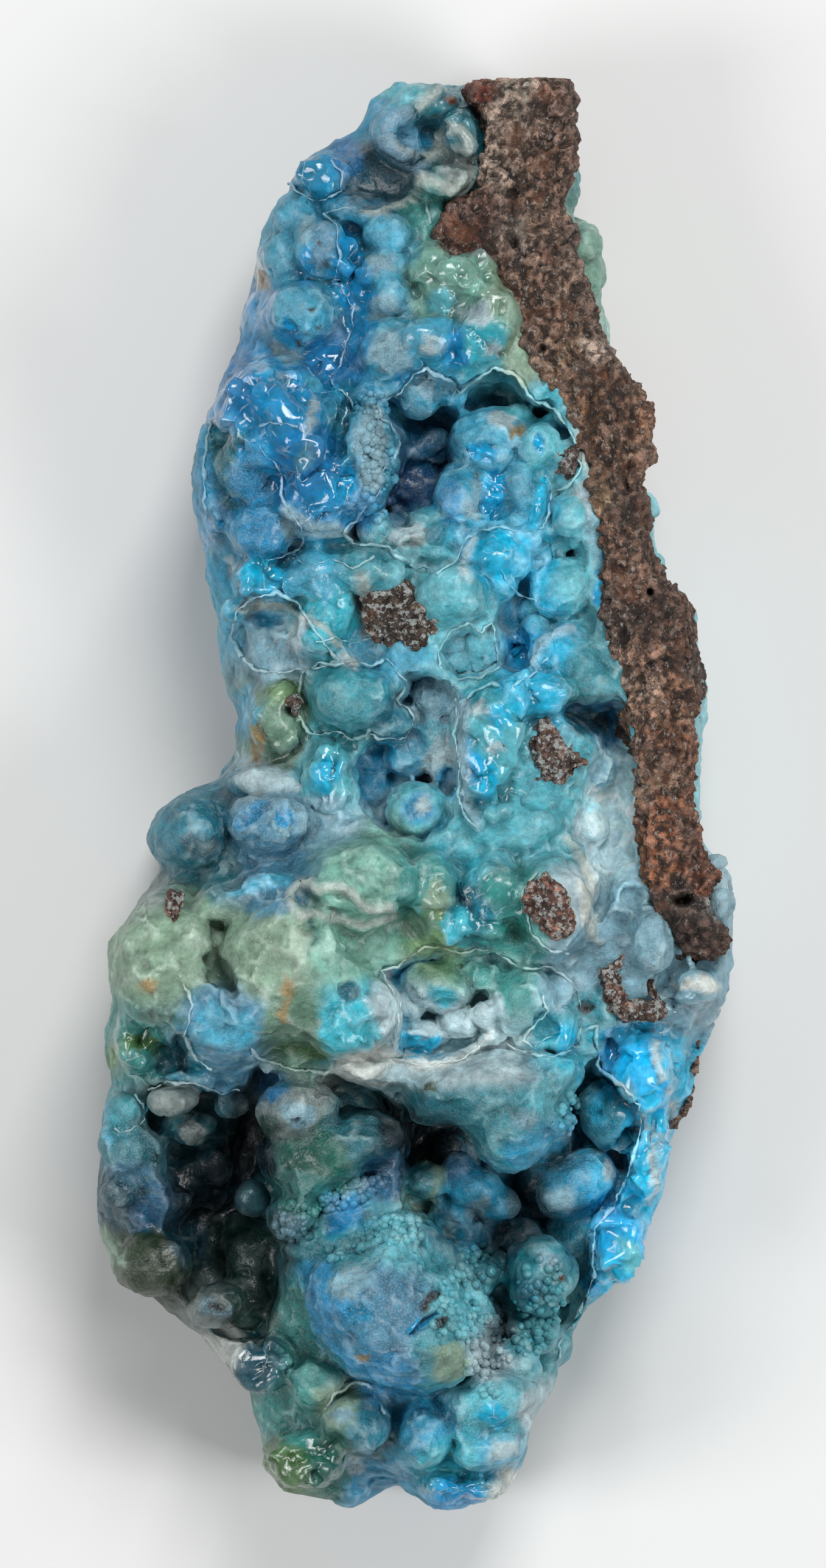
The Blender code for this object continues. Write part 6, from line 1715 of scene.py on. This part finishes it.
# Ironstone fragments caught in the crust: rough brown chips with white specks of gibbsite on them.
# Each has the outline at which the crust closes round it, and stands a little out of the skin.
CHIP_OUTLINES = [
    [(-2.9, 11.2), (-1.8, 12.2), (-0.6, 11.9), (0.5, 11), (1.7, 9.4), (0.9, 8.4), (0.1, 7.6),
     (-0.5, 8), (-1.8, 8.3), (-2.8, 8.8)],
    [(7.2, 4.4), (8, 3.2), (9.4, 1.7), (8.8, 0.9), (8, 0.35), (6.6, 0.7), (6.2, 1.5), (6.3, 3.2)],
    [(7.2, -4.3), (7.9, -4.7), (8.4, -5.6), (8.9, -6.9), (8.7, -7.6), (7.7, -8.1), (6.9, -7.5),
     (6.2, -6.6), (5.7, -5.9), (6.2, -5.3)],
    [(11.6, -8.5), (10.9, -8.7), (10.2, -9.6), (10.1, -10.6), (10.6, -11.6), (11.6, -12.4),
     (12.6, -12.8), (13.9, -12.3), (13.8, -11.4), (12.9, -9.8), (12.5, -10.1), (12.9, -11.2),
     (12.6, -11.8), (11.6, -11.2), (11.1, -10.5), (11.2, -9.8), (11.8, -9.2)],
    [(8.6, 19.2), (9.1, 18.4), (9, 17.2), (8.3, 17), (7.7, 17.8), (7.9, 18.8)],
    [(-13.6, -5.2), (-12.8, -5.4), (-12.5, -6.6), (-12.8, -7.5), (-13.6, -7.2), (-13.9, -6.2)],
    [(-7.3, 5.3), (-6.3, 5.2), (-6.5, 4.1)],
]
CHIP_RISE = 0.5
CHIP_SINK = 1.8
CHIP_CELL = 0.2
CHIP_VOXEL = 0.12
CHIP_TINTS = [
    (-0.7, 10, 2, 84, 74, 66), (0.6, 8.8, 1, 78, 68, 60), (7.7, 2.3, 2, 112, 92, 84),
    (7.3, -6, 2, 150, 110, 96), (11.6, -10.6, 2, 110, 80, 68), (8.4, 18.1, 1.5, 98, 90, 88),
    (-13.2, -6.3, 1.5, 108, 82, 74), (-6.8, 4.7, 1, 60, 48, 42),
]
crusted_stone = iron_stone("crusted_ironstone", 0.7)
for number, corners in enumerate(CHIP_OUTLINES, start=1):
    x, y = np.array(corners).mean(axis=0)
    ground = ground_at(x, y, 0.5)
    table = edge_table([(ground - 0.3, 0.7, corners)])
    levels = [(x, y, ground + CHIP_RISE)]
    chip = pillow(
        f"ironstone_chip_{number}", table, lambda points: smooth_front(points, table, levels), 1.0, CHIP_CELL,
        ground - CHIP_SINK,
    )
    remesh(chip, CHIP_VOXEL)
    points, normals = skin_points(chip), skin_normals(chip)
    lift = 0.3 * rough_noise(points, 1.1, 321)
    for size, height, seed in ((0.8, 0.4, 331), (0.35, 0.2, 341)):
        first, second, _, grain = stone_cells(points, size, seed)
        lift += height * (np.clip((second - first) / size, 0.0, 1.0) ** 0.6 - 0.4) * (0.4 + grain)
    shift_skin(chip, points + normals * lift[:, None])
    keep_in_box(chip)
    paint_ironstone(chip, CHIP_TINTS)
    chip.data.shade_smooth()
    chip.data.materials.append(crusted_stone)
    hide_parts(f"ironstone_inclusion_{number}")
    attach(chip, "root")

# A pale matt floor for the specimen to lie on, three soft boxes and a camera straight above it.
# None of them is a piece of the specimen.
form = bmesh.new()
bmesh.ops.create_grid(form, x_segments=1, y_segments=1, size=2.0)
floor = solid_object("floor", mesh_from("floor", form))
floor_paint = bpy.data.materials.new("floor_paint")
floor_paint.use_nodes = True
floor_paint.node_tree.nodes["Principled BSDF"].inputs["Base Color"].default_value = (0.78, 0.78, 0.77, 1.0)
floor_paint.node_tree.nodes["Principled BSDF"].inputs["Roughness"].default_value = 0.8
floor.data.materials.append(floor_paint)


def soft_box(name, azimuth, elevation, distance, width, height, power):
    """A rectangular studio light that looks at the specimen."""
    lamp = bpy.data.lights.new(name, "AREA")
    lamp.shape = "RECTANGLE"
    lamp.size, lamp.size_y, lamp.energy = width, height, power
    holder = bpy.data.objects.new(name, lamp)
    bpy.context.scene.collection.objects.link(holder)
    angle, lift = math.radians(azimuth), math.radians(elevation)
    towards = Vector((math.cos(angle) * math.cos(lift), math.sin(angle) * math.cos(lift), math.sin(lift)))
    holder.location = towards * distance + Vector((0, 0, 0.012))
    holder.rotation_euler = (-towards).to_track_quat("-Z", "Y").to_euler()


soft_box("key_light", 75, 56, 0.45, 0.14, 0.2, 1.15)
soft_box("left_light", 195, 48, 0.45, 0.14, 0.2, 0.75)
soft_box("right_light", -20, 48, 0.45, 0.14, 0.2, 0.85)
world = bpy.data.worlds.new("studio")
world.use_nodes = True
world.node_tree.nodes["Background"].inputs["Color"].default_value = (0.95, 0.97, 1.0, 1.0)
world.node_tree.nodes["Background"].inputs["Strength"].default_value = 0.18
bpy.context.scene.world = world
bpy.context.scene.view_settings.view_transform = "Standard"

CAMERA_HEIGHT = 0.71
SHARP_HEIGHT = 0.010
VIEW_TALL = 0.08703
VIEW_CENTRE = (-0.000135, 0.00049)
SENSOR_TALL = 36.0
camera_data = bpy.data.cameras.new("camera")
camera_data.sensor_fit = "VERTICAL"
camera_data.sensor_height = SENSOR_TALL
camera_data.lens = SENSOR_TALL * (CAMERA_HEIGHT - SHARP_HEIGHT) / VIEW_TALL
camera = bpy.data.objects.new("camera", camera_data)
camera.location = (*VIEW_CENTRE, CAMERA_HEIGHT)
bpy.context.scene.collection.objects.link(camera)
bpy.context.scene.camera = camera
